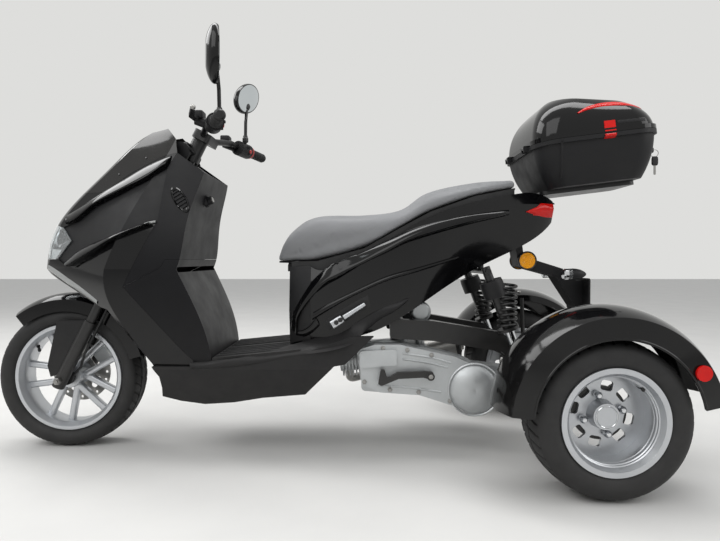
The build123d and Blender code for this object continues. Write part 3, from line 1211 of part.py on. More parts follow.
# Tail bracket with the number-plate carrier, its lamps and side reflectors.
BRACKET = ((150, 764.7), (122, 764.7), (104, 640), (-30, 598), (-72, 560), (-93, 560), (-93, 470), (-72, 470),
           (-5, 572), (120, 606))
BRACKET_HALF = 42.0
PLATE_HALF = 95.0
PLATE_HOLE = 3.2
PLATE_HOLE_SPAN = 146.0
PLATE_HOLE_RISE = 70.0
plate_mid = 512.0
with BuildPart() as plate_bracket:
    add(side_prism(rear(BRACKET), -BRACKET_HALF, BRACKET_HALF))
    with BuildSketch(Plane.YZ.offset(REAR_AXLE_X - 98)):
        with Locations((0, plate_mid)):
            RectangleRounded(2 * PLATE_HALF, 112, 8)
            with GridLocations(PLATE_HOLE_SPAN, PLATE_HOLE_RISE, 2, 2):
                Circle(PLATE_HOLE, mode=Mode.SUBTRACT)
    extrude(amount=5.5)
plate_bracket.part.label = "plate_bracket"
export_step(plate_bracket.part, "parts/plate_bracket.step")

SIGNAL_Z = 582.0
SIGNAL_HALF = 100.0
SIGNAL_RADIUS = 19.0
with BuildPart() as rear_signals:
    for sign in (1, -1):
        add(bar((REAR_AXLE_X - 34, sign * (BRACKET_HALF + BEAD_GAP), SIGNAL_Z),
                (REAR_AXLE_X - 34, sign * 92, SIGNAL_Z), 6))
        add(bar((REAR_AXLE_X - 8, sign * SIGNAL_HALF, SIGNAL_Z),
                (REAR_AXLE_X - 66, sign * SIGNAL_HALF, SIGNAL_Z),
                SIGNAL_RADIUS))
rear_signals.part.label = "rear_signals"
export_step(rear_signals.part, "parts/rear_signals.step")

REFLECTOR_Z = 626.0
REFLECTOR_RADIUS = 28.0
reflector_x = REAR_AXLE_X + 95.0
with BuildPart() as side_reflectors:
    for sign in (1, -1):
        add(bar((reflector_x, sign * (BRACKET_HALF + BEAD_GAP), REFLECTOR_Z),
                (reflector_x, sign * (BRACKET_HALF + 9), REFLECTOR_Z), REFLECTOR_RADIUS))
side_reflectors.part.label = "side_reflectors"
export_step(side_reflectors.part, "parts/side_reflectors.step")

# Exhaust down the right side and the passenger pegs folded against the body.
with BuildPart() as exhaust:
    add(tube([(REAR_AXLE_X + 700, -74, 262), (REAR_AXLE_X + 690, -140, 190), (REAR_AXLE_X + 600, -190, 200),
              (REAR_AXLE_X + 540, -200, 250)], 15, 24))
    add(bar((REAR_AXLE_X + 560, -200, 240), (REAR_AXLE_X + 290, -205, 300), 52))
    add(bar((REAR_AXLE_X + 470, -170, 262), (REAR_AXLE_X + 470, -118 - BEAD_GAP, 262), 12))
    add(bar((REAR_AXLE_X + 300, -205, 298), (REAR_AXLE_X + 262, -206, 306), 20))
exhaust.part.label = "exhaust"
export_step(exhaust.part, "parts/exhaust.step")

with BuildPart() as foot_pegs:
    for sign in (1, -1):
        peg = Plane(origin=(REAR_AXLE_X + 690, sign * 170, 455), x_dir=(-0.84, 0, 0.54), z_dir=(0, sign, 0))
        with BuildSketch(peg.offset(-40)):
            SlotOverall(128, 30)
        extrude(amount=50)
        add(tail_loft(-BEAD_GAP, 0, 0), mode=Mode.SUBTRACT)
foot_pegs.part.label = "foot_pegs"
export_step(foot_pegs.part, "parts/foot_pegs.step")
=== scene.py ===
# %% [markdown]
# A step-through motor trike: one steered wheel in front, two on a wide rear axle,
# glossy black panels over a matte black floor, a grey stepped seat and a top case.
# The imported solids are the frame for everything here. They are never moved. Each
# cell adds one finish or one piece that the solids leave plain, in metres, in the
# same frame: +X forward, +Y to the rider's left, +Z up, the ground at zero.

# %% Frame
import bmesh
import bpy
import numpy as np
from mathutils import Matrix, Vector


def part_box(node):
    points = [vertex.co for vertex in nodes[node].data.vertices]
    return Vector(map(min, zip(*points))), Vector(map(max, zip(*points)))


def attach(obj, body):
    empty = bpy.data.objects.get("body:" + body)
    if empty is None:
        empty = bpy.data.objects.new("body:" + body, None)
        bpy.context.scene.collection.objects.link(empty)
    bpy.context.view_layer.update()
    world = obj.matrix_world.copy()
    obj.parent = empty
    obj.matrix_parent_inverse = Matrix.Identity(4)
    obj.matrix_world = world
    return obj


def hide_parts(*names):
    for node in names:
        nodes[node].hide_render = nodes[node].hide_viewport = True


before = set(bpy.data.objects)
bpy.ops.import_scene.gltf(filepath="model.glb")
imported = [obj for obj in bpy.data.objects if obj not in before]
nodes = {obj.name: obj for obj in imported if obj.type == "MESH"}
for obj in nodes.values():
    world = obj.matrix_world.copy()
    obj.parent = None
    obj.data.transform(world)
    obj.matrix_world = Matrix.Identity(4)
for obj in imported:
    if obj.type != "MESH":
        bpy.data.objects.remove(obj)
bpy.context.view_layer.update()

# %% [markdown]
# The camera stands where the photographer did: square to the vehicle's left side,
# a bit over a metre and a half from it at chest height of a crouching person, with
# a wide phone lens. A lens that wide makes the near rear wheel look large, so the
# distance and the lens have to be right together. Pixels of the photo give the lens.

# %% Camera
PHOTO_WIDTH_PX = 720
FOCAL_PX = 541.0
SENSOR_MM = 36.0
CAMERA_PLACE = (-0.118, 1.8586, 0.628)
PITCH_DOWN_DEG = 1.11

camera = bpy.data.objects.new("camera", bpy.data.cameras.new("camera"))
bpy.context.scene.collection.objects.link(camera)
camera.location = CAMERA_PLACE
camera.rotation_euler = np.radians((90.0 - PITCH_DOWN_DEG, 0.0, 180.0))
camera.data.sensor_width = SENSOR_MM
camera.data.lens = FOCAL_PX / PHOTO_WIDTH_PX * SENSOR_MM
camera.data.clip_start = 0.02
bpy.context.scene.camera = camera
print("lens", round(camera.data.lens, 2), "mm")

# %% [markdown]
# Colours are written as the eye reads them, in sRGB hex, and one function turns
# them into the linear light that a shader works in. A second function adds a node:
# plain values go on its sockets, and sockets of other nodes are linked to them.

# %% Colour and nodes
def linear(code):
    """sRGB hex to linear RGBA: c / 12.92 when dark, else ((c + 0.055) / 1.055) to the 2.4."""
    c = np.array([int(code[i:i + 2], 16) for i in (1, 3, 5)]) / 255.0
    rgb = np.where(c <= 0.04045, c / 12.92, ((c + 0.055) / 1.055) ** 2.4)
    return (*(float(v) for v in rgb), 1.0)


def put(tree, kind, sockets=None, **settings):
    """Adds one node, sets its attributes, and fills its sockets with values or links."""
    node = tree.nodes.new(kind)
    for key, value in settings.items():
        setattr(node, key, value)
    for key, value in (sockets or {}).items():
        if isinstance(value, bpy.types.NodeSocket):
            tree.links.new(value, node.inputs[key])
        else:
            node.inputs[key].default_value = value
    return node


def new_material(name):
    """Empty node material with one Principled shader; gives (material, tree, shader)."""
    material = bpy.data.materials.new(name)
    material.use_nodes = True
    tree = material.node_tree
    return material, tree, tree.nodes["Principled BSDF"]


def per_mm(size):
    """Noise scale that draws features of this many millimetres on metre coordinates."""
    return 1000.0 / size

# %% [markdown]
# A plain studio: one wide pale floor and a soft sky. The sky lights the vehicle as a gradient, bright overhead
# and dimmer at the horizon, while the camera, reflections and refractions see a plain pale background. Black gloss
# shows nothing of itself, only what stands around it, so four large soft lamps draw long highlights on the panels.

# %% Floor and light
FLOOR_HALF = 16.0
SKY_STRENGTH = 0.75

floor_mesh = bpy.data.meshes.new("studio_floor")
corners = np.array([(-1, -1, 0), (1, -1, 0), (1, 1, 0), (-1, 1, 0)], float) * FLOOR_HALF
floor_mesh.from_pydata(corners.tolist(), [], [(0, 1, 2, 3)])
floor = bpy.data.objects.new("studio_floor", floor_mesh)
bpy.context.scene.collection.objects.link(floor)

floor_paint, tree, shader = new_material("studio_floor_paint")
place = put(tree, "ShaderNodeTexCoord").outputs["Object"]
mottle = put(tree, "ShaderNodeTexNoise", {"Vector": place, "Scale": per_mm(260), "Detail": 5.0})
tone = put(tree, "ShaderNodeMix", {"Factor": mottle.outputs["Fac"], "A": linear("#c9c8c6"),
                                   "B": linear("#d6d5d2")}, data_type="RGBA")
tree.links.new(tone.outputs["Result"], shader.inputs["Base Color"])
shader.inputs["Roughness"].default_value = 0.85
floor_mesh.materials.append(floor_paint)

world = bpy.data.worlds.new("soft_sky")
bpy.context.scene.world = world
world.use_nodes = True
sky = world.node_tree
sky.nodes.clear()
up = put(sky, "ShaderNodeSeparateXYZ", {"Vector": put(sky, "ShaderNodeTexCoord").outputs["Generated"]})
ramp = put(sky, "ShaderNodeValToRGB", {"Fac": up.outputs["Z"]})
ramp.color_ramp.elements[0].color = linear("#a9a8a6")
ramp.color_ramp.elements[1].color = linear("#f4f6f8")
ramp.color_ramp.elements[1].position = 0.65
lit = put(sky, "ShaderNodeBackground", {"Color": ramp.outputs["Color"], "Strength": SKY_STRENGTH})
seen = put(sky, "ShaderNodeBackground", {"Color": linear("#dededc"), "Strength": 1.0})
ray = put(sky, "ShaderNodeLightPath").outputs
mirrored = put(sky, "ShaderNodeMath", {0: ray["Is Glossy Ray"], 1: ray["Is Transmission Ray"]},
               operation="MAXIMUM")
shown = put(sky, "ShaderNodeMath", {0: ray["Is Camera Ray"], 1: mirrored.outputs[0]}, operation="MAXIMUM")
both = put(sky, "ShaderNodeMixShader", {0: shown.outputs[0], 1: lit.outputs[0], 2: seen.outputs[0]})
put(sky, "ShaderNodeOutputWorld", {"Surface": both.outputs[0]})

# Columns: name, place, aimed at, size across and up in metres, watts.
LAMPS = (
    ("key_softbox", (2.2, 3.6, 4.2), (0.0, 0.0, 0.6), (5.0, 3.4), 108.0),
    ("top_softbox", (-0.2, -0.3, 4.0), (0.0, 0.1, 0.5), (5.0, 1.0), 92.0),
    ("rear_softbox", (-4.2, 1.8, 2.4), (-0.6, 0.0, 0.6), (2.4, 2.4), 36.0),
    ("front_softbox", (3.5, -1.0, 3.7), (0.6, 0.1, 0.8), (3.0, 1.8), 72.0),
)
for name, spot, aim, size, watts in LAMPS:
    lamp = bpy.data.lights.new(name, "AREA")
    lamp.shape = "RECTANGLE"
    lamp.size, lamp.size_y = size
    lamp.energy = watts
    holder = bpy.data.objects.new(name, lamp)
    holder.location = spot
    direction = np.array(aim) - np.array(spot)
    flat = float(np.hypot(direction[0], direction[1]))
    holder.rotation_euler = (float(np.arctan2(flat, -direction[2])), 0.0,
                             float(np.arctan2(direction[1], direction[0]) - np.pi / 2))
    bpy.context.scene.collection.objects.link(holder)
bpy.context.scene.view_settings.view_transform = "Standard"
print("lamps:", len(LAMPS))

# %% [markdown]
# Every finish on the vehicle has the same three traits: a colour that wanders a
# little, a gloss that wanders with it, and a fine relief. They could be painted into
# textures, but then they would not survive a change of shape. Here they are noise in
# real millimetres on the piece's own coordinates. Road dust is one more layer that
# thickens towards the ground.

# %% Shared recipe for a finish
DUST_TOP = 0.55
DUST_FLOOR = 0.02
DUST_MM = 38
DUST_COLOUR = "#86827c"


def finish(name, dark, light, blotch_mm, rough, spread, grain_mm, depth_mm, dust=0.0, **shader_values):
    """Material: two tones mixed by noise of blotch_mm, roughness rough +- spread, relief of
    depth_mm on noise of grain_mm, and dust that grows below DUST_TOP."""
    material, tree, shader = new_material(name)
    place = put(tree, "ShaderNodeTexCoord").outputs["Object"]
    blotch = put(tree, "ShaderNodeTexNoise", {"Vector": place, "Scale": per_mm(blotch_mm), "Detail": 6.0,
                                              "Roughness": 0.6}).outputs["Fac"]
    colour = put(tree, "ShaderNodeMix", {"Factor": blotch, "A": linear(dark), "B": linear(light)},
                 data_type="RGBA").outputs["Result"]
    gloss = put(tree, "ShaderNodeMapRange", {"Value": blotch, "From Min": 0.3, "From Max": 0.7,
                                             "To Min": rough - spread, "To Max": rough + spread}).outputs["Result"]
    if dust > 0.0:
        height = put(tree, "ShaderNodeSeparateXYZ", {"Vector": place}).outputs["Z"]
        low = put(tree, "ShaderNodeMapRange", {"Value": height, "From Min": DUST_TOP, "From Max": DUST_FLOOR,
                                               "To Min": 0.0, "To Max": dust}).outputs["Result"]
        drift = put(tree, "ShaderNodeTexNoise", {"Vector": place, "Scale": per_mm(DUST_MM), "Detail": 8.0,
                                                 "Roughness": 0.7}).outputs["Fac"]
        amount = put(tree, "ShaderNodeMath", {0: low, 1: drift}, operation="MULTIPLY").outputs[0]
        colour = put(tree, "ShaderNodeMix", {"Factor": amount, "A": colour, "B": linear(DUST_COLOUR)},
                     data_type="RGBA").outputs["Result"]
        gloss = put(tree, "ShaderNodeMath", {0: gloss, 1: amount}, operation="ADD").outputs[0]
    tree.links.new(colour, shader.inputs["Base Color"])
    tree.links.new(gloss, shader.inputs["Roughness"])
    grain = put(tree, "ShaderNodeTexNoise", {"Vector": place, "Scale": per_mm(grain_mm), "Detail": 3.0})
    relief = put(tree, "ShaderNodeBump", {"Height": grain.outputs["Fac"], "Distance": depth_mm / 1000.0,
                                          "Strength": 1.0})
    tree.links.new(relief.outputs["Normal"], shader.inputs["Normal"])
    for key, value in shader_values.items():
        shader.inputs[key.replace("_", " ")].default_value = value
    return material


# %% [markdown]
# The outer panels are ABS, sprayed black and lacquered. Lacquer gives a sharp
# reflection with a faint ripple, called orange peel, and fine swirls that soften the
# gloss here and there. The real ripple is a millimetre or two across; it is drawn at
# five so that it shows.

# %% Lacquered ABS
lacquered_abs = finish("lacquered_black_abs", "#050506", "#09090b", 90, 0.09, 0.04, 5.0, 0.010, dust=0.08,
                       IOR=1.46, Specular_IOR_Level=0.4)

# %% [markdown]
# The rider's side of the fairing is the same ABS left satin, so that it doesn't dazzle:
# the light spreads over it in soft gradients.

# %% Satin ABS
satin_abs = finish("satin_black_abs", "#0b0b0d", "#131316", 80, 0.42, 0.07, 3.0, 0.03, dust=0.1,
                   IOR=1.45, Specular_IOR_Level=0.22)

# %% [markdown]
# Floor and belly are moulded polypropylene with a leather-like grain from
# the tool. It is never sprayed, so it is grey-black and dull. The real grain is under
# a millimetre; it is drawn at two so that it shows in a render of this size.

# %% Moulded polypropylene
grained_pp = finish("grained_black_polypropylene", "#0d0d0f", "#171719", 60, 0.52, 0.10, 2.0, 0.10, dust=0.16,
                    IOR=1.49, Specular_IOR_Level=0.32)

# %% [markdown]
# The screen is smoked acrylic over a dark tray: it reads as black glass with a
# brown cast. The headlamp lens is clear polycarbonate. Red and amber lenses are acrylic.

# %% Acrylic and lenses
smoked_acrylic = finish("smoked_acrylic", "#0b0a0a", "#141211", 120, 0.06, 0.03, 14.0, 0.01, IOR=1.49)
clear_lens = finish("clear_polycarbonate", "#e6ebee", "#f2f5f6", 80, 0.06, 0.03, 16.0, 0.02, IOR=1.58,
                    Transmission_Weight=0.9)
red_lens = finish("red_acrylic_lens", "#b50c09", "#dd160e", 30, 0.12, 0.03, 3.0, 0.15, IOR=1.45,
                  Specular_IOR_Level=0.35)
amber_lens = finish("amber_acrylic_lens", "#f59a0c", "#ffb11e", 30, 0.12, 0.03, 3.0, 0.15, IOR=1.45,
                    Specular_IOR_Level=0.35)

# %% [markdown]
# Metals: painted steel tube, plain steel, sand-cast aluminium on the engine with its
# pebbled skin, and silver lacquer over cast wheels, which keeps a fine sparkle.

# %% Metals
painted_steel = finish("black_painted_steel", "#0c0c0d", "#161617", 50, 0.34, 0.08, 3.0, 0.03, dust=0.18)
plain_steel = finish("brushed_stainless_steel", "#8c8b89", "#a9a8a5", 40, 0.30, 0.08, 1.6, 0.02, dust=0.25,
                     Metallic=1.0)
cast_aluminium = finish("sand_cast_aluminium", "#b0b3b5", "#c8cbcc", 35, 0.40, 0.10, 1.8, 0.08, dust=0.2,
                        Metallic=0.7)
silver_lacquer = finish("silver_wheel_lacquer", "#b9bcc0", "#cfd1d4", 70, 0.30, 0.06, 1.5, 0.015, dust=0.15,
                        Metallic=0.8)

# %% [markdown]
# Rubber and vinyl. Tyres are grey-black and dusty. The seat cover is a mid-grey vinyl
# with a pebble grain, dull where riders have sat.

# %% Rubber and vinyl
tyre_rubber = finish("tyre_rubber", "#111112", "#1d1d1e", 45, 0.66, 0.10, 2.5, 0.12, dust=0.08)
grip_rubber = finish("grip_rubber", "#101011", "#19191a", 25, 0.62, 0.08, 1.5, 0.10)
seat_vinyl = finish("grained_seat_vinyl", "#6c6d6f", "#818284", 120, 0.55, 0.10, 2.2, 0.16, IOR=1.5)

# %% [markdown]
# The solids that keep their own shape now get their finish by name.

# %% Finishes on the solids
DRESS = {
    lacquered_abs: "nose_cowl side_fairing_left side_fairing_right blades side_panel_left side_panel_right "
                   "front_fender rear_fender_left rear_fender_right case_lid mirrors",
    satin_abs: "knee_panel leg_shield",
    grained_pp: "side_vents dash arch_liner belly_pan floorboard seat_pedestal storage_bucket case_base "
                "case_lock fork_guards controls plate_bracket seat_pan",
    smoked_acrylic: "screen",
    clear_lens: "headlamp",
    red_lens: "tail_lamp fender_reflectors",
    amber_lens: "rear_signals side_reflectors",
    painted_steel: "frame rack kick_lever rear_axle swing_frame shock_left shock_right fork handlebar "
                   "rear_hub_left rear_hub_right",
    plain_steel: "exhaust brake_disc",
    cast_aluminium: "engine_block belt_cover brake_caliper",
    silver_lacquer: "front_rim rear_rim_left rear_rim_right foot_pegs",
    grip_rubber: "grips front_lines",
    tyre_rubber: "front_tyre rear_tyre_left rear_tyre_right",
    seat_vinyl: "seat",
}
for material, names in DRESS.items():
    for name in names.split():
        slots = nodes[name].material_slots
        for slot in slots:
            slot.material = material
        if not slots:
            nodes[name].data.materials.append(material)
print("solids dressed:", sum(len(names.split()) for names in DRESS.values()))

# %% [markdown]
# Every new piece is a grid of points: a profile carried along a path, turned round an
# axis, or laid on a panel. One function weaves such grids into a mesh. Blender has
# primitives and curves for some of these, but a grid keeps the formula in sight and
# can be measured against the solids, because both are in the same millimetres.

# %% Grids to meshes
MM = 0.001
OUT = np.array((0.0, 1.0, 0.0))


def weave(rows, columns, wrap_rows, wrap_columns):
    """Quads of a grid: each point is joined to the next row and the next column."""
    index = np.arange(rows * columns).reshape(rows, columns)
    index = np.vstack([index, index[:1]]) if wrap_rows else index
    index = np.hstack([index, index[:, :1]]) if wrap_columns else index
    return np.stack([index[:-1, :-1], index[1:, :-1], index[1:, 1:], index[:-1, 1:]], axis=-1).reshape(-1, 4)


def skin(name, body, material, grids, wrap_rows=False, sharp_deg=35.0, both_sides=False):
    """One object from grids in mm, closed round their columns: quads between neighbours, open ends closed by
    a fan to their middle, doubled points merged, faces turned outwards. both_sides adds the mirror in y."""
    grids = [np.asarray(grid, float) for grid in grids]
    if both_sides:
        grids += [grid * (1.0, -1.0, 1.0) for grid in grids]
    parts, faces, count = [], [], 0
    for grid in grids:
        rows, columns = grid.shape[:2]
        faces += (weave(rows, columns, wrap_rows, True) + count).tolist()
        parts.append(grid.reshape(-1, 3))
        if not wrap_rows:
            ring = np.arange(columns)
            for row, hub in ((0, rows * columns), (rows - 1, rows * columns + 1)):
                fan = np.stack([np.full(columns, hub), row * columns + ring,
                                row * columns + np.roll(ring, -1)], axis=-1)
                faces += (fan + count).tolist()
            parts.append(np.stack([grid[0].mean(axis=0), grid[-1].mean(axis=0)]))
        count = sum(len(part) for part in parts)
    mesh = bpy.data.meshes.new(name)
    mesh.from_pydata((np.vstack(parts) * MM).tolist(), [], faces)
    work = bmesh.new()
    work.from_mesh(mesh)
    bmesh.ops.remove_doubles(work, verts=work.verts, dist=1e-6)
    bmesh.ops.dissolve_degenerate(work, dist=1e-7, edges=work.edges)
    bmesh.ops.recalc_face_normals(work, faces=work.faces)
    work.to_mesh(mesh)
    work.free()
    mesh.shade_smooth()
    mesh.set_sharp_from_angle(angle=np.radians(sharp_deg))
    mesh.materials.append(material)
    piece = bpy.data.objects.new(name, mesh)
    bpy.context.scene.collection.objects.link(piece)
    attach(piece, body)
    return piece

# %% [markdown]
# The shapes themselves come from a handful of formulas: a smooth line, a profile turned
# round an axis, a circle carried along a path, and a squared oval, which is a circle whose
# sine and cosine are raised to a power below one.

# %% Formulas for lines and turned shapes
def points(x, y, z):
    """Coordinates spread over each other's shape and stacked into points."""
    return np.stack(np.broadcast_arrays(x, y, z), axis=-1)


def full_turn(steps):
    """Equal angles once round, without the closing one."""
    return np.linspace(0.0, 2 * np.pi, steps, endpoint=False)


def squared(value, power):
    """Size raised to a power, sign kept: a power below one draws a circle towards a square."""
    return np.sign(value) * np.abs(value) ** power


def unit(vectors):
    """Vectors divided by their own length."""
    vectors = np.asarray(vectors, float)
    return vectors / np.linalg.norm(vectors, axis=-1, keepdims=True)


def spline(line, count):
    """Smooth line through points: cubic pieces whose slope at a point is half the step between
    its two neighbours, read at equal shares of the run."""
    line = np.asarray(line, float)
    slope = np.gradient(line, axis=0)
    share = np.linspace(0.0, len(line) - 1.0, count)
    piece = np.minimum(share.astype(int), len(line) - 2)
    t = (share - piece)[:, None]
    a, b, m, n = line[piece], line[piece + 1], slope[piece], slope[piece + 1]
    return ((2 * t**3 - 3 * t**2 + 1) * a + (t**3 - 2 * t**2 + t) * m
            + (3 * t**2 - 2 * t**3) * b + (t**3 - t**2) * n)


def turned(profile, centre, axis, steps):
    """Profile of (radius, along) turned round an axis through a centre: rows are angles, columns the profile."""
    radius, along = np.asarray(profile, float).T[:, :, None]
    axis = unit(axis)
    side = unit(np.cross(axis, (0.0, 0.0, 1.0) if abs(axis[2]) < 0.9 else (1.0, 0.0, 0.0)))
    angle = full_turn(steps)[:, None, None]
    spoke = np.cos(angle) * side + np.sin(angle) * np.cross(axis, side)
    return np.asarray(centre, float) + along * axis + radius * spoke


def knob(centre, axis, profile, steps=32):
    """Solid of revolution with both poles closed, as a grid whose rows are the rings of its profile."""
    return np.swapaxes(turned(profile, centre, axis, steps), 0, 1)


def tube(path, radius, sides=12, up=(0.0, 0.0, 1.0)):
    """Circle carried along a path: rows follow the path, columns go round it."""
    path = np.asarray(path, float)
    along = unit(np.gradient(path, axis=0))
    side = unit(np.cross(along, up))
    over = np.cross(side, along)
    angle = full_turn(sides)[:, None]
    return path[:, None] + radius * (np.cos(angle) * side[:, None] + np.sin(angle) * over[:, None])

# %% [markdown]
# Trim has to sit on panels whose exact surface only the solids know. So its points start
# well outside and are carried straight inwards until they meet a panel. Blender's
# Shrinkwrap does that for a whole mesh at once. The strip then smooths what it met.

# %% Laying trim on panels
FAR_SIDE, FAR_BACK = 600.0, -1500.0
STRIP_LIFT = 0.4


def laid(starts, targets, axis=1):
    """Points carried straight along an axis, inwards from where they start, until they meet one of the
    target solids; the nearest meeting counts, and a point that misses takes it from the rest of its row."""
    starts = np.asarray(starts, float)
    flat = starts.reshape(-1, 3)
    inward = -np.sign(flat[0, axis])
    best = np.full(len(flat), np.nan)
    for target in targets:
        mesh = bpy.data.meshes.new("probe")
        mesh.from_pydata((flat * MM).tolist(), [], [])
        probe = bpy.data.objects.new("probe", mesh)
        bpy.context.scene.collection.objects.link(probe)
        wrap = probe.modifiers.new("lay", "SHRINKWRAP")
        wrap.wrap_method = "PROJECT"
        wrap.target = nodes[target]
        wrap.use_project_x, wrap.use_project_y, wrap.use_project_z = axis == 0, axis == 1, axis == 2
        wrap.use_negative_direction, wrap.use_positive_direction = bool(inward < 0), bool(inward > 0)
        placed = np.empty(flat.size)
        probe.evaluated_get(bpy.context.evaluated_depsgraph_get()).data.vertices.foreach_get("co", placed)
        met = placed.reshape(-1, 3)[:, axis] / MM
        nearer = (np.abs(met - flat[:, axis]) > 0.5) & (np.isnan(best) | (inward * met < inward * best))
        best = np.where(nearer, met, best)
        bpy.data.objects.remove(probe)
        bpy.data.meshes.remove(mesh)
    met = best.reshape(-1, starts.shape[-2])
    some = ~np.isnan(met).all(axis=1)
    met = met[some][np.cumsum(some).clip(1) - 1]
    column = np.arange(met.shape[1])
    filled = [np.interp(column, column[~np.isnan(row)], row[~np.isnan(row)]) for row in met]
    result = flat.copy()
    result[:, axis] = np.ravel(filled)
    return result.reshape(starts.shape)


def strip(low, high, targets, rise, sunk=3.0, count=64, across=9, peak=0.5):
    """Trim strip laid on panels: lines between a low and a high side-view edge, smoothed by a polynomial of
    both, crowned by rise at the peak's share of its width and closed behind, sunk into the panel."""
    low, high = spline(low, count), spline(high, count)
    share = np.linspace(0.0, 1.0, across)[:, None]
    view = low[:, None] * (1 - share) + high[:, None] * share
    face = laid(points(view[..., 0], FAR_SIDE, view[..., 1]), targets)
    along, over = np.meshgrid(np.linspace(-1, 1, count), np.linspace(-1, 1, across), indexing="ij")
    terms = np.polynomial.polynomial.polyvander2d(along, over, (7, 2)).reshape(count * across, -1)
    smooth = terms @ np.linalg.lstsq(terms, face[..., 1].ravel(), rcond=None)[0]
    face[..., 1] = smooth.reshape(count, across)
    crown = np.sin(np.pi * np.interp(share, (0.0, peak, 1.0), (0.0, 0.5, 1.0))) ** 0.7 * rise
    front = face + (crown + STRIP_LIFT) * OUT
    back = face - sunk * OUT
    return np.concatenate([front, back[:, ::-1]], axis=1)

# %% [markdown]
# Tyres. A road tyre is moulded in one go: bead, bulged wall, a sharp shoulder and a
# crown with slanted grooves. Grooves could be cut with booleans, but hundreds of cuts
# are slow and leave poor faces. Here the whole tyre is one turned profile, and each
# groove is a dip in the radius where a wave over angle and width crosses a limit.

# %% Tyres
REAR_X, FRONT_X = -772.0, 862.0
REAR_Z, FRONT_Z, HALF_TRACK = 212, 235, 410
SIDES = (("left", 1), ("right", -1))
# Shares of a block's pitch and of the half crown: half widths of groove and ring, and how soon they reach depth.
GROOVE_HALF, GROOVE_EDGE, GROOVE_FROM, FROM_EDGE = 0.11, 0.04, 0.16, 0.06
RING_AT, RING_HALF, RING_EDGE = 0.30, 0.045, 0.015


def arc(start, through, end, count):
    """Points of the circle through three points, from the first to the last."""
    (ax, ay), (bx, by), (cx, cy) = start, through, end
    twice = 2 * (ax * (by - cy) + bx * (cy - ay) + cx * (ay - by))
    a, b, c = ax * ax + ay * ay, bx * bx + by * by, cx * cx + cy * cy
    middle = np.array([a * (by - cy) + b * (cy - ay) + c * (ay - by),
                       a * (cx - bx) + b * (ax - cx) + c * (bx - ax)]) / twice
    spokes = np.array([start, through, end]) - middle
    angle = np.unwrap(np.arctan2(spokes[:, 1], spokes[:, 0]))
    turn = np.linspace(angle[0], angle[2], count)
    return middle + np.hypot(*spokes[0]) * np.stack([np.cos(turn), np.sin(turn)], axis=-1)


def tread(angle, across, blocks, slant):
    """Groove depth from 0 to 1: slanted waves that lead from the middle to each shoulder, plus two rings."""
    wave = (angle * blocks / (2 * np.pi) + slant * np.abs(across)) % 1.0
    cut = (np.clip((GROOVE_HALF - np.abs(wave - 0.5)) / GROOVE_EDGE, 0.0, 1.0)
           * np.clip((np.abs(across) - GROOVE_FROM) / FROM_EDGE, 0.0, 1.0))
    ring = np.clip((RING_HALF - np.abs(np.abs(across) - RING_AT)) / RING_EDGE, 0.0, 1.0)
    return np.maximum(cut, ring)


def tyre_grid(axle, radius, width, bead, rim_width, blocks, slant, depth, steps=640):
    """Tyre: bead, bulged wall, shoulder and crown turned about the axle, grooves of a depth on the crown."""
    half, seat = width / 2, rim_width / 2 - 0.3
    foot, lip = bead + 0.3, bead + 14.3
    shoulder, edge = radius - 0.055 * width, 0.40 * width
    wall = arc((lip, seat), (bead + 0.5 * (radius - bead), half), (shoulder, edge), 16)
    crown = arc((shoulder, edge), (radius, 0.0), (shoulder, -edge), 49)
    profile = np.vstack([[(foot, seat)], wall[:-1], crown, (wall * (1, -1))[::-1][1:], [(foot, -seat)]])
    r, y = profile.T
    ribs = 0.8 * np.clip(np.cos((r - lip) * 2 * np.pi / 11.0) - 0.75, 0.0, 1.0) * 4
    on_wall = (r > lip + 4) & (r < lip + 30)
    on_crown = np.clip((r - shoulder + 1.0) / 2.0, 0.0, 1.0)
    angle = full_turn(steps)[:, None]
    r = r - depth * on_crown * tread(angle, y / edge, blocks, slant)
    y = y + np.where(on_wall, np.sign(y) * ribs * 0.5, 0.0)
    return points(axle[0] + r * np.cos(angle), axle[1] + y, axle[2] + r * np.sin(angle))


# Columns: node, body, axle, radius, width, bead, rim width, blocks round, slant, groove depth.
TYRES = (
    ("front_tyre", "front_wheel", (FRONT_X, 0, FRONT_Z), 235, 120, 165, 88, 46, 0.9, 4.5),
    ("rear_tyre_left", "rear_wheel_left", (REAR_X, HALF_TRACK, REAR_Z), 212, 176, 127, 150, 40, 0.7, 5.0),
    ("rear_tyre_right", "rear_wheel_right", (REAR_X, -HALF_TRACK, REAR_Z), 212, 176, 127, 150, 40, -0.7, 5.0),
)
for node, body, *shape in TYRES:
    piece = skin(node + "_tread", body, tyre_rubber, [tyre_grid(*shape)], wrap_rows=True, sharp_deg=50)
    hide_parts(node)
    print(piece.name, len(piece.data.polygons), "faces")

# %% [markdown]
# The front wheel is one casting: a barrel with two rolled lips, a waisted hub, and five
# pairs of spokes that open towards the rim. A spoke is a rounded bar between hub and
# barrel, deeper at the hub. The barrel and the hub are turned, the spokes are one bar
# placed ten times by its angle. The casting takes the place of the plain solid rim.

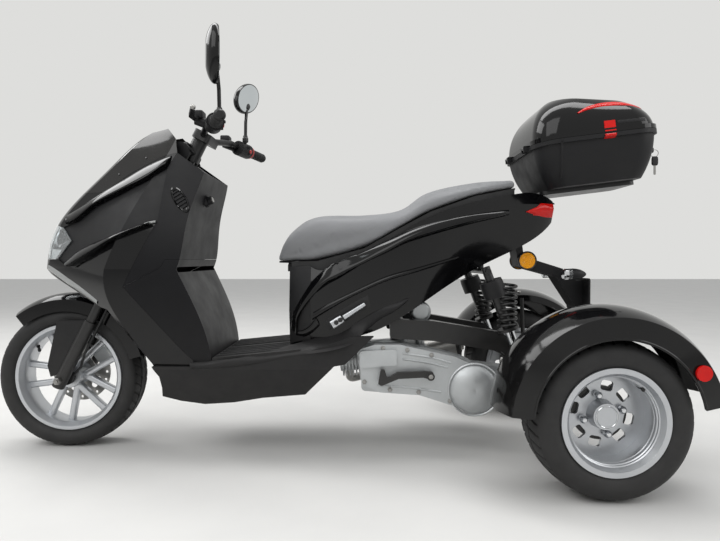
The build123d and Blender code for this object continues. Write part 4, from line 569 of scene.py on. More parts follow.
# %% Front rim
HUB_R, HUB_HALF, BORE_R = 38.0, 41.7, 8.5
SPOKE_IN, SPOKE_OUT, SPOKE_PAIRS = (26.0, 20.0), (159.0, 37.0), 5
SPOKE_WIDE, SPOKE_TAPER, SPOKE_FLARE, SPOKE_DEEP, SPOKE_THIN = 11.5, 1.5, 2.0, 14.0, 3.0
half_rim = np.array([(155.5, 0), (155.5, 28), (157, 34), (161, 39), (164, 45), (167, 49.4), (173, 50),
                     (177.5, 49.6), (179, 47), (179, 44), (165, 44), (165, 0)])
rim_loop = np.vstack([half_rim, (half_rim * (1, -1))[::-1][1:-1]])
hub_loop = [(BORE_R, -HUB_HALF), (36, -HUB_HALF), (HUB_R, -39), (HUB_R, -33), (33, -26), (33, 26), (HUB_R, 33),
            (HUB_R, 39), (36, HUB_HALF), (BORE_R, HUB_HALF)]
axle = np.array((FRONT_X, 0.0, FRONT_Z))


def spoke_grid(turn, lean, rows=20, columns=24):
    """Bar from hub to barrel: squared ovals whose half width and half depth shrink a little outwards and
    flare at the barrel, its middle line leaning away from the pair's own line, turned about the axle."""
    run = np.linspace(0.0, 1.0, rows)[:, None]
    u = SPOKE_IN[0] + run * (SPOKE_OUT[0] - SPOKE_IN[0])
    offset = lean * (SPOKE_IN[1] + run * (SPOKE_OUT[1] - SPOKE_IN[1]))
    angle = full_turn(columns)
    v = offset + (SPOKE_WIDE - SPOKE_TAPER * run + SPOKE_FLARE * run**6) * squared(np.cos(angle), 0.6)
    deep = (SPOKE_DEEP - SPOKE_THIN * run) * squared(np.sin(angle), 0.6)
    return axle + points(u * np.cos(turn) - v * np.sin(turn), deep, u * np.sin(turn) + v * np.cos(turn))


spokes = [spoke_grid(turn, lean) for turn in full_turn(SPOKE_PAIRS) for lean in (1, -1)]
rings = skin("front_rim_rings", "front_wheel", silver_lacquer,
             [turned(loop, axle, OUT, 128) for loop in (rim_loop, hub_loop)], wrap_rows=True)
front_spokes = skin("front_spokes", "front_wheel", silver_lacquer, spokes)
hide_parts("front_rim")
print("spokes:", len(spokes))

# %% [markdown]
# The seat is foam under a stretched vinyl cover, low in front, with a step up to the
# pillion part. Drawn as a plain loft it looks like a block. So a slightly thin loft is
# blown up as cloth with air pressure: the cover rounds itself between its edges. How
# far a point may move is capped, and least at the underside, where the pan holds it.

# %% Seat cushion
# Columns: ahead of the rear axle, underside, top, half width.
SEAT_LINE = np.array([
    (926, 626, 652, 52), (908, 625, 690, 72), (870, 625, 731, 90), (790, 627, 768, 118), (640, 667, 770, 142),
    (520, 735, 785, 154), (430, 783, 842, 150), (290, 833, 873, 136), (150, 863, 888, 102)], float)
SEAT_VOXEL_MM = 6.0
SEAT_PRESSURE = 4.0
SEAT_FRAMES = 20
CAP_LEAST, CAP_MOST, CAP_SLOPE = 0.5, 8.0, 0.2
WAIST = 0.36
UNDER = 0.35


def cushion_grid(line, rows=90, columns=56):
    """Seat: rows run along it; a column goes round, flat below, with rounded flanks and a crowned top."""
    x, low, top, half = spline(line, rows).T[:, :, None]
    angle = full_turn(columns)
    tall = np.abs(np.sin(angle))
    over = np.where(np.sin(angle) > 0, tall ** 0.72, -UNDER * tall ** 0.3)
    waist = low + WAIST * (top - low)
    z = np.where(over > 0, waist + over * (top - waist), waist + over / UNDER * (waist - low))
    return points(REAR_X + x, half * squared(np.cos(angle), 0.62), z)


def finished(piece):
    """The piece as its modifiers leave it."""
    return piece.evaluated_get(bpy.context.evaluated_depsgraph_get())


def corners_of(mesh):
    """All points of a mesh as an array, in metres."""
    flat = np.empty(len(mesh.vertices) * 3, np.float32)
    mesh.vertices.foreach_get("co", flat)
    return flat.reshape(-1, 3)


seat_cushion = skin("seat_cushion", "seat", seat_vinyl, [cushion_grid(SEAT_LINE)])
remesh = seat_cushion.modifiers.new("even_faces", "REMESH")
remesh.mode = "VOXEL"
remesh.voxel_size = SEAT_VOXEL_MM * MM
remesh.use_smooth_shade = True
even = bpy.data.meshes.new_from_object(finished(seat_cushion))
seat_cushion.modifiers.clear()
seat_cushion.data = even
rest = corners_of(even)
cloth = seat_cushion.modifiers.new("blown_up", "CLOTH")
cloth.settings.use_pressure = True
cloth.settings.uniform_pressure_force = SEAT_PRESSURE
cloth.settings.effector_weights.gravity = 0.0
cloth.settings.quality = 4
cloth.point_cache.frame_start, cloth.point_cache.frame_end = 1, SEAT_FRAMES
for step in range(1, SEAT_FRAMES + 1):
    bpy.context.scene.frame_set(step)
blown = corners_of(finished(seat_cushion).data)
seat_cushion.modifiers.clear()
bpy.context.scene.frame_set(1)
line = SEAT_LINE[::-1]
low_here = np.interp(rest[:, 0] / MM, REAR_X + line[:, 0], line[:, 1])
cap = MM * np.clip(CAP_LEAST + (rest[:, 2] / MM - low_here) * CAP_SLOPE, CAP_LEAST, CAP_MOST)
move = blown - rest
far = np.linalg.norm(move, axis=1)
rest = rest + move * np.minimum(1.0, cap / np.maximum(far, 1e-9))[:, None]
even.vertices.foreach_set("co", rest.astype(np.float32).ravel())
even.update()
print("seat cover moved up to", round(float(np.minimum(far, cap).max() / MM), 1), "mm")
even.materials.clear()
even.materials.append(seat_vinyl)
even.shade_smooth()
finer = seat_cushion.modifiers.new("finer", "SUBSURF")
finer.levels = finer.render_levels = 1
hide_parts("seat")
print("seat cushion:", len(even.polygons), "faces")

# %% [markdown]
# Under the seat a rubber lip stands on the bodywork and closes the joint to the pan.
# It is a thin upright wall just outside the pan's edge, and ends a little below the
# cushion, so that the seat still opens freely.

# %% Seat lip
LIP_OVER, LIP_TALL, LIP_THICK, LIP_CLEAR = 4.5, 40.0, 4.0, 2.5
# Columns: ahead of the rear axle, underside and half width of the pan.
PAN_LINE = np.array([(150, 856, 96), (290, 826, 130), (430, 776, 144), (520, 728, 148), (640, 660, 134),
                     (790, 620, 108), (870, 618, 78)], float)
x = np.linspace(878.0, 154.0, 60)[:, None]
top = np.interp(x, PAN_LINE[:, 0], PAN_LINE[:, 1]) + LIP_OVER
half = np.interp(x, PAN_LINE[:, 0], PAN_LINE[:, 2]) + LIP_CLEAR
wall = points(REAR_X + x, half + np.array((0, LIP_THICK, LIP_THICK, 0)), top - np.array((0, 0, LIP_TALL, LIP_TALL)))
seat_lip = skin("seat_lip", "chassis", grip_rubber, [wall], both_sides=True)
print("seat lip", len(seat_lip.data.polygons), "faces")

# %% [markdown]
# The side panels are not one sheet. A glossy strake starts in a hook by the floor,
# climbs round the pedestal and runs along under the seat to the tail. Below it lies
# a hollow with the passenger peg, then a second, softer ridge, then the skirt band
# over the engine. Each is a strip laid on the solid panel: two edge lines in side
# view, joined by straight lines and crowned.

# %% Strakes on the side panels
TAIL = ("side_panel_left", "seat_pedestal")
SKIRT = ("side_panel_left", "seat_pedestal", "belly_pan", "floorboard")
upper_strake = strip([(84, 384), (74, 452), (-2, 546), (-54, 577), (-127, 616), (-200, 650), (-262, 680),
                      (-350, 708), (-470, 742), (-590, 770)],
                     [(108, 408), (94, 470), (39, 556), (-33, 617), (-116, 648), (-200, 688), (-272, 722),
                      (-350, 745), (-470, 770), (-590, 788)], TAIL, 13.0, across=15, peak=0.3)
lower_ridge = strip([(34, 436), (-20, 470), (-96, 514), (-199, 561), (-303, 592), (-430, 632)],
                    [(30, 462), (-20, 492), (-96, 530), (-199, 577), (-303, 606), (-430, 642)], TAIL, 7.0,
                    across=13, peak=0.35)
hook = strip([(84, 384), (60, 382), (34, 396), (10, 420)], [(96, 400), (70, 402), (44, 418), (22, 446)], TAIL,
             5.0, count=24)
strakes = skin("side_strakes", "chassis", lacquered_abs, [upper_strake, lower_ridge, hook], both_sides=True)
band = strip([(400, 292), (300, 298), (190, 310), (60, 336), (-30, 352), (-96, 372), (-137, 406), (-199, 447),
              (-260, 490)],
             [(404, 312), (300, 322), (190, 338), (37, 376), (-30, 392), (-96, 424), (-168, 466), (-230, 494),
              (-276, 510)], SKIRT, 7.0)
skirt = skin("skirt_bands", "chassis", grained_pp, [band], both_sides=True)
print("strakes", len(strakes.data.polygons), "faces, skirt", len(skirt.data.polygons))

# %% [markdown]
# The passenger peg folds into a dark recess. The recess is a matte plate with a rounded
# outline laid on the panel. The peg is a square cast foot with a round dark pivot, and a
# ribbed rod that lies along the panel; both are squared ovals carried along one line.
# They take the place of the plain solid peg.

# %% Passenger pegs
plate = strip([(-22, 406), (-60, 426), (-100, 450), (-152, 484)],
              [(-10, 438), (-50, 464), (-90, 490), (-142, 518)], TAIL, 1.2, count=32)
recess = skin("peg_recess", "chassis", grip_rubber, [plate], both_sides=True)
peg_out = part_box("foot_pegs")[1][1] / MM
PEG_DEEP = 8.0
PEG_FOOT, PEG_ALONG = np.array((-34.0, peg_out - PEG_DEEP, 427.0)), unit((-0.84, 0.0, 0.54))
PEG_ACROSS = np.array((0.54, 0.0, 0.84))


def peg_bar(start, end, wide, deep, count=24):
    """Squared oval carried from start to end along the peg's line; half width and half depth vary along it."""
    run = np.linspace(start, end, count)[:, None, None]
    share = (run - start) / (end - start)
    angle = full_turn(28)[:, None]
    return (PEG_FOOT + run * PEG_ALONG + wide(share) * squared(np.cos(angle), 0.5) * PEG_ACROSS
            + deep(share) * squared(np.sin(angle), 0.5) * OUT)


foot = peg_bar(-4.0, 34.0, lambda t: 13.0 - 1.5 * t**4, lambda t: PEG_DEEP)
rod = peg_bar(40.0, 118.0, lambda t: 7.5 - 2.0 * t + 0.6 * np.cos(t * 60), lambda t: 7.0 - 1.0 * t)
link = peg_bar(30.0, 44.0, lambda t: 6.0, lambda t: 5.0)
pegs = skin("folded_pegs", "chassis", silver_lacquer, [foot, rod], both_sides=True)
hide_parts("foot_pegs")
pivot = [(0, -3), (7.5, -3), (7.5, 1.5), (5, 2.5), (0, 2.5)]
pivots = [knob(PEG_FOOT + run * PEG_ALONG + PEG_DEEP * OUT, OUT, pivot, 24) for run in (12.0, 27.0)]
skin("peg_pivots", "chassis", painted_steel, pivots + [link], both_sides=True)
print("pegs reach y", round(peg_out), "mm")

# %% [markdown]
# Front fairing trim: a pale grey lip under the nose, crowned ledges along the two blades
# that catch the light, the bright tip of the lower blade, an oval air outlet with a
# slatted insert beside the rider's knee, and the round-headed screws of the screen.

# %% Blades and nose
pale_abs = finish("pale_grey_abs", "#8b8d8c", "#a2a4a3", 70, 0.34, 0.08, 4.0, 0.02, dust=0.25)
chin = strip([(925, 596), (880, 574), (834, 551), (790, 531), (744, 509), (704, 489)],
             [(918, 612), (872, 592), (828, 570), (782, 548), (738, 524), (702, 502)],
             ("side_fairing_left", "nose_cowl"), 3.0, across=7)
skin("chin_lip", "chassis", pale_abs, [chin], both_sides=True)
lower_blade = strip([(812, 608), (740, 638), (662, 676), (585, 715), (522, 741)],
                    [(834, 618), (772, 658), (694, 690), (615, 712), (526, 744)], ("blades",), 19.0, sunk=2.0,
                    across=15, peak=0.16)
cowl_blade = strip([(836, 744), (793, 758), (729, 804), (633, 846), (556, 881), (496, 924)],
                   [(840, 776), (793, 800), (729, 836), (640, 884), (560, 928), (480, 960)], ("nose_cowl",), 15.0,
                   sunk=2.0, across=15, peak=0.2)
blade_crowns = skin("blade_crowns", "chassis", lacquered_abs, [lower_blade, cowl_blade], both_sides=True)
tip = strip([(540, 735), (522, 740), (508, 743)], [(540, 742), (522, 747), (508, 749)], ("blades", "knee_panel"),
            4.0, count=12, across=7)
skin("blade_tips", "chassis", pale_abs, [tip], both_sides=True)
print("blade crowns", len(blade_crowns.data.polygons), "faces")

# %% [markdown]
# The air outlet is an oval that leans back. Its bezel is a rounded ring laid on the panel,
# and its slats are short tubes across the oval. The screws sit on the screen's edge.

# %% Air outlet and screws
OUTLET_X, OUTLET_Z, OUTLET_LONG, OUTLET_SHORT = 440.0, 816.0, 47.0, 19.0
LEAN = np.radians(56.0)
KNEE = ("knee_panel",)


def on_knee(a, b):
    """Points on the knee panel from places along the outlet's long and short axes, which lean back and down."""
    return laid(points(OUTLET_X - a * np.cos(LEAN) + b * np.sin(LEAN), FAR_SIDE,
                       OUTLET_Z - a * np.sin(LEAN) - b * np.cos(LEAN)), KNEE)


angle = full_turn(72)
bezel_out, bezel_in = (on_knee(OUTLET_LONG * share * np.cos(angle), OUTLET_SHORT * share * np.sin(angle))
                       for share in (1.0, 0.76))
bezel = np.stack([bezel_out - 3 * OUT, bezel_out + 3 * OUT, (bezel_out + bezel_in) / 2 + 6 * OUT,
                  bezel_in + 3 * OUT, bezel_in - 3 * OUT], axis=1)
skin("outlet_bezel", "chassis", lacquered_abs, [bezel], wrap_rows=True, both_sides=True)
slats = []
for share in np.linspace(-0.6, 0.6, 6):
    reach = 0.74 * np.sqrt(1 - share**2)
    slats.append(tube(on_knee(OUTLET_LONG * share, OUTLET_SHORT * np.linspace(-reach, reach, 9)) + 1.5 * OUT, 2.6, 8))
skin("outlet_slats", "chassis", grained_pp, slats, both_sides=True)
SCREEN_SCREWS = ((660, 904), (570, 956))
screw = [(0, -2), (4, -2), (3.6, 1.2), (2, 2.2), (0, 2.4)]
heads = [laid(np.array([[x, FAR_SIDE, z]]), ("screen", "nose_cowl"))[0] for x, z in SCREEN_SCREWS]
skin("screen_screws", "chassis", painted_steel, [knob(p, (0.25, 1, 0.35), screw, 20) for p in heads],
     both_sides=True)
print("outlet at y", round(float(bezel_out[:, 1].mean())), "mm")

# %% [markdown]
# The headlamp is a clear cover over two round reflectors. The cover is the solid; the
# bowls behind it are turned parabolas of bright plating, each with a small bulb.

# %% Headlamp bowls
bright_plating = finish("bright_chrome_plating", "#c8cacc", "#dcdee0", 60, 0.10, 0.05, 6.0, 0.008, Metallic=1.0)
lamp_low, lamp_high = np.array(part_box("headlamp")) / MM
bowl = [(30 * s, 22 * s * s) for s in np.linspace(0.0, 1.0, 9)] + [(32, 22), (32, 18), (0, -4)]
bulb = [(0, 4), (5, 4), (6, 10), (4, 15), (0, 17)]
AHEAD = (0.94, 0, 0.2)
seats = [(lamp_high[0] - 78, side * 34, (lamp_low[2] + lamp_high[2]) / 2 + 8) for side in (1, -1)]
skin("lamp_bowls", "chassis", bright_plating, [knob(p, AHEAD, bowl, 36) for p in seats])
skin("lamp_bulbs", "chassis", pale_abs, [knob(p, AHEAD, bulb, 20) for p in seats])
print("lamp box x", [round(v) for v in (lamp_low[0], lamp_high[0])])

# %% [markdown]
# Instruments and ignition: a dark window in a raised frame on the pod before the
# bars, and a key switch in the leg shield, a turned plastic collar with a bright slot plate.

# %% Instruments and ignition
dark_window = finish("black_instrument_glass", "#07090b", "#0d1113", 60, 0.07, 0.03, 20.0, 0.01, IOR=1.5)
POD_MID, POD_UP, POD_BACK = np.array((455.0, 0.0, 1003.0)), unit((0.58, 0.0, 0.81)), unit((-0.81, 0.0, 0.58))


def window(half_wide, half_tall, height):
    """Ring with squared corners on the pod's face, raised by a height."""
    angle = full_turn(64)[:, None]
    return (POD_MID + half_wide * squared(np.cos(angle), 0.5) * OUT
            + half_tall * squared(np.sin(angle), 0.5) * POD_UP + height * POD_BACK)


pod_ring = np.stack([window(62, 24, -6), window(62, 24, 4), window(59, 21, 7), window(54, 16, 5),
                     window(54, 16, -6)], axis=1)
skin("pod_frame", "chassis", grained_pp, [pod_ring], wrap_rows=True)
skin("pod_glass", "chassis", dark_window, [np.stack([window(55, 17, -5), window(55, 17, 2), window(40, 10, 3.5)])])
SWITCH_AXIS = (-0.95, 0.1, 0.3)
switch_seat = laid(np.array([[-100.0, 44.0, 822.0]]), KNEE, axis=0)[0]
switch = [(0, -4), (19, -4), (19, 3), (17, 6), (14, 7), (14, 20), (12.5, 23), (0, 23)]
slot_plate = [(0, 22), (9, 22), (9, 24), (0, 24)]
skin("ignition_switch", "chassis", grained_pp, [knob(switch_seat, SWITCH_AXIS, switch, 36)])
skin("ignition_plate", "chassis", plain_steel, [knob(switch_seat, SWITCH_AXIS, slot_plate, 24)])
print("switch at x", round(float(switch_seat[0])), "mm")

# %% [markdown]
# The bars carry ribbed rubber grips with a flange, a red collar on the throttle side,
# a red stop button, switch keys, ball ends on the levers and fluid boxes.
# Grips, collars, buttons and balls are turned profiles; the boxes are rounded blocks,
# a sphere whose cosines are drawn towards a square.

# %% Bars
red_abs = finish("red_moulded_abs", "#8f1410", "#b01c15", 40, 0.32, 0.08, 3.0, 0.02)
GRIP_IN, GRIP_OUT = np.array((324.8, 205.0, 1044.5)), np.array((279.8, 320.0, 1037.5))
GRIP_SPAN = float(np.linalg.norm(GRIP_OUT - GRIP_IN))
GRIP_AXIS = (GRIP_OUT - GRIP_IN) / GRIP_SPAN
GRIP_LONG = 0.86 * GRIP_SPAN
RIB_PITCH = 6.0
FLIP = np.array((1.0, -1.0, 1.0))


def grip_point(share):
    """Point on the left grip's middle line, from its inner end to the bar end."""
    return GRIP_IN + (GRIP_OUT - GRIP_IN) * share


def block(centre, half, squareness=0.35, rows=13, columns=28):
    """Rounded block: a sphere's cosines and sines raised to a small power, scaled by the half sizes."""
    up = np.linspace(-np.pi / 2, np.pi / 2, rows)[:, None]
    angle = full_turn(columns)
    ring = squared(np.cos(up), squareness)
    return np.asarray(centre, float) + points(half[0] * ring * squared(np.cos(angle), squareness),
                                              half[1] * ring * squared(np.sin(angle), squareness),
                                              half[2] * squared(np.sin(up), squareness))


run = np.linspace(8.0, GRIP_LONG - 6.0, 150)
ribs = 16.4 + 0.9 * np.clip(np.cos(run * 2 * np.pi / RIB_PITCH) * 2, -1, 1)
grip_profile = np.vstack([[(11.4, 0), (21, 0), (21.5, 2), (21, 5), (17.5, 7)], np.stack([ribs, run], -1),
                          [(17.5, GRIP_LONG - 4), (15.5, GRIP_LONG), (11.4, GRIP_LONG)]])
ribbed_grips = skin("ribbed_grips", "steering", grip_rubber,
                    [turned(grip_profile, grip_point(0.22), GRIP_AXIS, 36)], wrap_rows=True, both_sides=True)
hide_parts("grips")
bar_end = [(0, -4), (12, -4), (15, -1), (15, 6), (11, 10), (0, 11)]
skin("bar_ends", "steering", painted_steel, [knob(grip_point(1.06), GRIP_AXIS, bar_end)], both_sides=True)
collar = [(17.2, -3), (23.5, -3), (24, 2), (23, 8), (17.2, 9)]
skin("throttle_collar", "steering", red_abs, [turned(collar, grip_point(0.27) * FLIP, GRIP_AXIS * FLIP, 40)],
     wrap_rows=True)
button = [(0, -4), (8, -4), (8, 3), (6.5, 5), (0, 5.4)]
skin("stop_buttons", "steering", red_abs, [knob(grip_point(0.0) + (-25, 0, -6), (-1, -0.3, -0.1), button, 24)],
     both_sides=True)
# Columns: place from the switch housing's middle, half height.
SWITCHES = ((-24, -14, 8, 5.0), (-24, 10, 10, 6.0), (-20, 0, -16, 4.5))
skin("switch_keys", "steering", grained_pp,
     [block(grip_point(-0.02) + shift, (7, s, s), 0.45) for *shift, s in SWITCHES], both_sides=True)
perch = grip_point(-0.30)
skin("fluid_boxes", "steering", grained_pp, [block(perch + (44, -2, 30), (17, 24, 13), 0.3)], both_sides=True)
lever_ball = [(0, -8), (4, -7), (7, -4), (8, 0), (7, 4), (4, 7), (0, 8)]
skin("lever_balls", "steering", plain_steel, [knob(perch + (20, 138, 17), OUT, lever_ball, 24)], both_sides=True)
print("grips", round(GRIP_LONG), "mm long")

# %% [markdown]
# Each mirror is a leaf-shaped plastic shell, a solid already. What it lacks is the glass,
# a thin plate set into its face, and the collar nut and ball joint of its stem.

# %% Mirrors
mirror_glass = finish("silvered_mirror_glass", "#c9cfd2", "#d4d9db", 90, 0.03, 0.02, 40.0, 0.004, Metallic=1.0)
GLASS_SHORT, GLASS_LONG = 52, 88
ball_joint = [(0, -14), (8, -12), (11, -4), (12, 4), (9, 12), (0, 15)]
stem_nut = [(0, -8), (10.5, -8), (11, -6), (11, 6), (9, 9), (8, 16), (0, 16)]
angle = full_turn(64)[:, None]
glasses, joints, nuts = [], [], []
# Columns: side, turn of the glass towards the rider, lean of the leaf.
for side, turn_deg, lean_deg in ((1, 20.0, 4.0), (-1, 20.0, 58.0)):
    base = grip_point(-0.15) * (1, side, 1)
    middle = base + (-18.0, side * 38.0, 200.0)
    c, s = np.cos(np.radians(turn_deg)), np.sin(np.radians(turn_deg))
    wide, face = np.array((s, -side * c, 0.0)), np.array((-c, -side * s, 0.0))
    tall = np.cross(face, wide)
    lean = side * np.radians(lean_deg)
    long_axis = np.cos(lean) * tall - np.sin(lean) * wide
    short_axis = np.cos(lean) * wide + np.sin(lean) * tall
    leaf = GLASS_SHORT * np.cos(angle) * short_axis + GLASS_LONG * np.sin(angle) * long_axis
    glasses.append(np.stack([middle + lift * face + share * leaf
                             for share, lift in ((0.90, 3.0), (0.90, 6.6), (0.87, 7.2), (0.45, 7.2))]))
    joints.append(knob(base + (-18.0, side * 32.0, 166.0), (0, side * 0.6, 1), ball_joint))
    nuts.append(knob(base + (-18.0, 0.0, 34.0), (0, 0, 1), stem_nut, 24))
skin("mirror_glasses", "steering", mirror_glass, glasses)
skin("mirror_joints", "steering", grip_rubber, joints)
skin("mirror_nuts", "steering", painted_steel, nuts, sharp_deg=25)
print("mirror glasses:", len(glasses))

# %% [markdown]
# The top case: a red crescent reflector high on each flank of the lid with a band across
# the back, a red tab across the rim, a dark inset strip behind it, mould ridges on the
# base, and the key left in the lock with its ring, fob and a spare key.

# %% Case trim
LID, BASE = ("case_lid",), ("case_base",)
BAND_SAG = 0.0006
BAND_SUNK = np.array((3.0, 0.0, 0.0))
crescent = strip([(-786, 1076), (-820, 1090), (-870, 1102), (-930, 1106), (-985, 1102), (-1012, 1096)],
                 [(-784, 1080), (-818, 1100), (-868, 1116), (-930, 1121), (-985, 1115), (-1014, 1102)], LID, 2.5,
                 sunk=4.0, count=48)
skin("lid_reflectors", "case_lid", red_lens, [crescent], both_sides=True)
across = np.linspace(-128.0, 128.0, 41)[:, None]
back_band = laid(points(FAR_BACK, across, np.array((1074.0, 1080.0, 1086.0, 1092.0)) - BAND_SAG * across**2), LID,
                 axis=0)
skin("lid_back_reflector", "case_lid", red_lens,
     [np.concatenate([back_band - BAND_SUNK, (back_band + BAND_SUNK)[:, ::-1]], axis=1)])
# Columns: name, body, finish, low edge, high edge, laid on, rise, points along and across.
CASE_STRIPS = (
    ("lid_tab", "case_lid", red_lens, [(-862, 1018), (-879, 1020), (-896, 1022)],
     [(-862, 1052), (-879, 1054), (-896, 1056)], LID, 2.5, 12, 7),
    ("base_tab", "chassis", red_lens, [(-862, 997), (-879, 999), (-896, 1001)],
     [(-862, 1011), (-879, 1013), (-896, 1015)], BASE, 2.5, 12, 7),
    ("inset_strip", "case_lid", grained_pp, [(-902, 1044), (-950, 1049), (-990, 1053)],
     [(-902, 1054), (-950, 1059), (-990, 1062)], LID, 0.8, 16, 5),
    ("base_ridges", "chassis", grained_pp, [(-746, 884), (-742, 930), (-738, 990)],
     [(-740, 884), (-734, 930), (-728, 990)], BASE, 2.5, 24, 7),
)
for name, body, material, low, high, target, rise, count, wide in CASE_STRIPS:
    skin(name, body, material, [strip(low, high, target, rise, count=count, across=wide)], both_sides=True)

LOCK = np.array((-1078.0, 0.0, 1003.0))
wire = np.stack([12 + np.cos(full_turn(8)), np.sin(full_turn(8))], -1)
skin("key_ring", "chassis", plain_steel, [turned(wire, LOCK + (-47, 0, -10), (0.5, 1, 0), 40)], wrap_rows=True)
skin("key_bow", "chassis", grip_rubber,
     [block(LOCK + (-22, 0, 1), (23, 3, 11), 0.5), block(LOCK + (-49, 0, -36), (11, 4, 16), 0.5)])
skin("key_blade", "chassis", plain_steel, [block(LOCK + (-49, 0, -64), (4, 1.2, 19), 0.3)])
print("case strips:", len(CASE_STRIPS))

# %% [markdown]
# Wheel details that turn with the wheels: domed nuts on the studs, rubber valve stems,
# a turned ring in each hub cap, the turned steps in the deep rear barrels; and the front
# axle nuts on the sliders.

# %% Wheel details
NUT_CIRCLE, NUT_START = 54.0, 14.0
NUT_FACE, CAP_FACE, VALVE_FACE = 411, 433, 446
nut_dome = [(0, -6), (10.5, -6), (10.5, 2), (9, 6), (5.5, 9.5), (0, 10.5)]
valve = [(0, -12), (6, -12), (6, 2), (4, 6), (4, 18), (5, 19), (5, 26), (0, 27)]
cap_ring = [(27, -1.5), (30, -1.5), (30, 2), (28.5, 3), (27, 2)]
barrel_steps = [(118.6, 34), (112, 34), (112, 46), (113.5, 48), (113.5, 57), (116, 59), (116, 64), (118.6, 66)]
spin = np.radians(NUT_START + 90.0 * np.arange(4))
for name, side in SIDES:
    body, outward = "rear_wheel_" + name, (0, side, 0)
    studs = [knob((REAR_X + NUT_CIRCLE * np.cos(a), side * NUT_FACE, REAR_Z - side * NUT_CIRCLE * np.sin(a)),
                  outward, nut_dome, 24) for a in spin]
    skin("wheel_nuts_" + name, body, bright_plating, studs, sharp_deg=25)
    skin("valve_" + name, body, grip_rubber,
         [knob((REAR_X - 80, side * VALVE_FACE, REAR_Z + 84), (0.15, side, -0.1), valve, 16)])
    skin("barrel_steps_" + name, body, silver_lacquer,
         [turned(barrel_steps, (REAR_X, side * HALF_TRACK, REAR_Z), outward, 96)], wrap_rows=True, sharp_deg=20)
    skin("cap_ring_" + name, body, bright_plating,
         [turned(cap_ring, (REAR_X, side * CAP_FACE, REAR_Z), outward, 48)], wrap_rows=True)
skin("valve_front", "front_wheel", grip_rubber,
     [knob((FRONT_X + 120, 14, FRONT_Z + 98), (-0.6, 0.7, -0.5), valve, 16)])
axle_nut = [(0, -14), (12, -14), (12, 8), (10.5, 10), (7, 10), (7, 15), (0, 15.5)]
skin("axle_nuts", "steering", plain_steel, [knob((FRONT_X, 112, FRONT_Z), OUT, axle_nut, 6)], both_sides=True,
     sharp_deg=20)
print("wheel nuts:", 2 * len(spin))

# %% [markdown]
# The rear mudguards have a rolled edge, a round bead that stiffens the rim of the thin
# moulding, and bolts through the crown into the struts below. A bead is a tube along an arc.

# %% Mudguard edges and bolts
GUARD_R, BOLT_Y = 286, 330.0
sweep = np.radians(np.linspace(5.0, 169.0, 120))
# Columns: radius of the edge, its place across, radius of the bead.
BEADS = ((218.5, 509.5, 4.0), (252.5, 306.0, 3.2))
beads = [tube(points(REAR_X + r * np.cos(sweep), y, REAR_Z + r * np.sin(sweep)), bead, 10, up=OUT)
         for r, y, bead in BEADS]
skin("mudguard_beads", "chassis", lacquered_abs, beads, both_sides=True)
bolt = [(0, -4), (7, -4), (7, 2.5), (5.5, 4.5), (0, 5)]
bolts = [knob((REAR_X + GUARD_R * np.cos(a), BOLT_Y, REAR_Z + GUARD_R * np.sin(a)), (np.cos(a), -0.25, np.sin(a)),
              bolt, 24) for a in np.radians((28.0, 88.0, 148.0))]
skin("mudguard_bolts", "chassis", plain_steel, bolts, both_sides=True)
print("bolts on each mudguard:", len(bolts))

# %% [markdown]
# The belt cover is a sand casting: a flange all round with bolt heads, two long ribs above
# and one below, and a turned ring round the domed end cap. The kick lever gets its bolt.

# %% Engine trim
FLANGE_Y, COVER_Y = 101.0, 170.0
COVER_LINE = [(648, 238), (660, 347), (607, 361), (529, 361), (357, 323), (296, 296), (219, 240), (226, 188),
              (300, 150), (367, 174), (467, 206), (592, 215), (648, 238)]
COVER_BOLTS = ((640, 326), (582, 352), (506, 346), (430, 330), (640, 246), (560, 222), (470, 214), (372, 186))
RIB_LINES = ([(520, 336), (430, 322), (370, 306)], [(520, 318), (440, 306), (380, 292)],
             [(600, 236), (500, 228), (400, 214)])
cover = spline([(REAR_X + dx, FLANGE_Y, z) for dx, z in COVER_LINE], 160)
skin("cover_flange", "chassis", cast_aluminium, [tube(cover, 5.0, 10, up=OUT)])
cover_bolt = [(0, -3), (8, -3), (8, 1), (6, 1.5), (6, 6), (4.5, 7), (0, 7)]
skin("cover_bolts", "chassis", plain_steel,
     [knob((REAR_X + dx, COVER_Y + 0.5, z), OUT, cover_bolt, 6) for dx, z in COVER_BOLTS], sharp_deg=20)
skin("cover_ribs", "chassis", cast_aluminium,
     [tube(spline([(REAR_X + dx, COVER_Y, z) for dx, z in line], 24), 3.2, 10) for line in RIB_LINES])
cap_edge = [(78, -4), (84, -4), (84, 3), (81, 5), (78, 3)]
skin("end_cap_ring", "chassis", cast_aluminium, [turned(cap_edge, (REAR_X + 295, COVER_Y, 222), OUT, 72)],
     wrap_rows=True)
kick_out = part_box("kick_lever")[1][1] / MM
kick_head = [(0, -3), (8, -3), (8, 3), (6, 4.5), (0, 4.5)]
skin("kick_bolt", "chassis", plain_steel, [knob((REAR_X + 436, kick_out, 269), OUT, kick_head, 6)], sharp_deg=20)
print("cover bolts", len(COVER_BOLTS))

# %% [markdown]
# Shock absorbers: a polished lower tube and a black shroud above the coils, both turned
# about the damper's line.

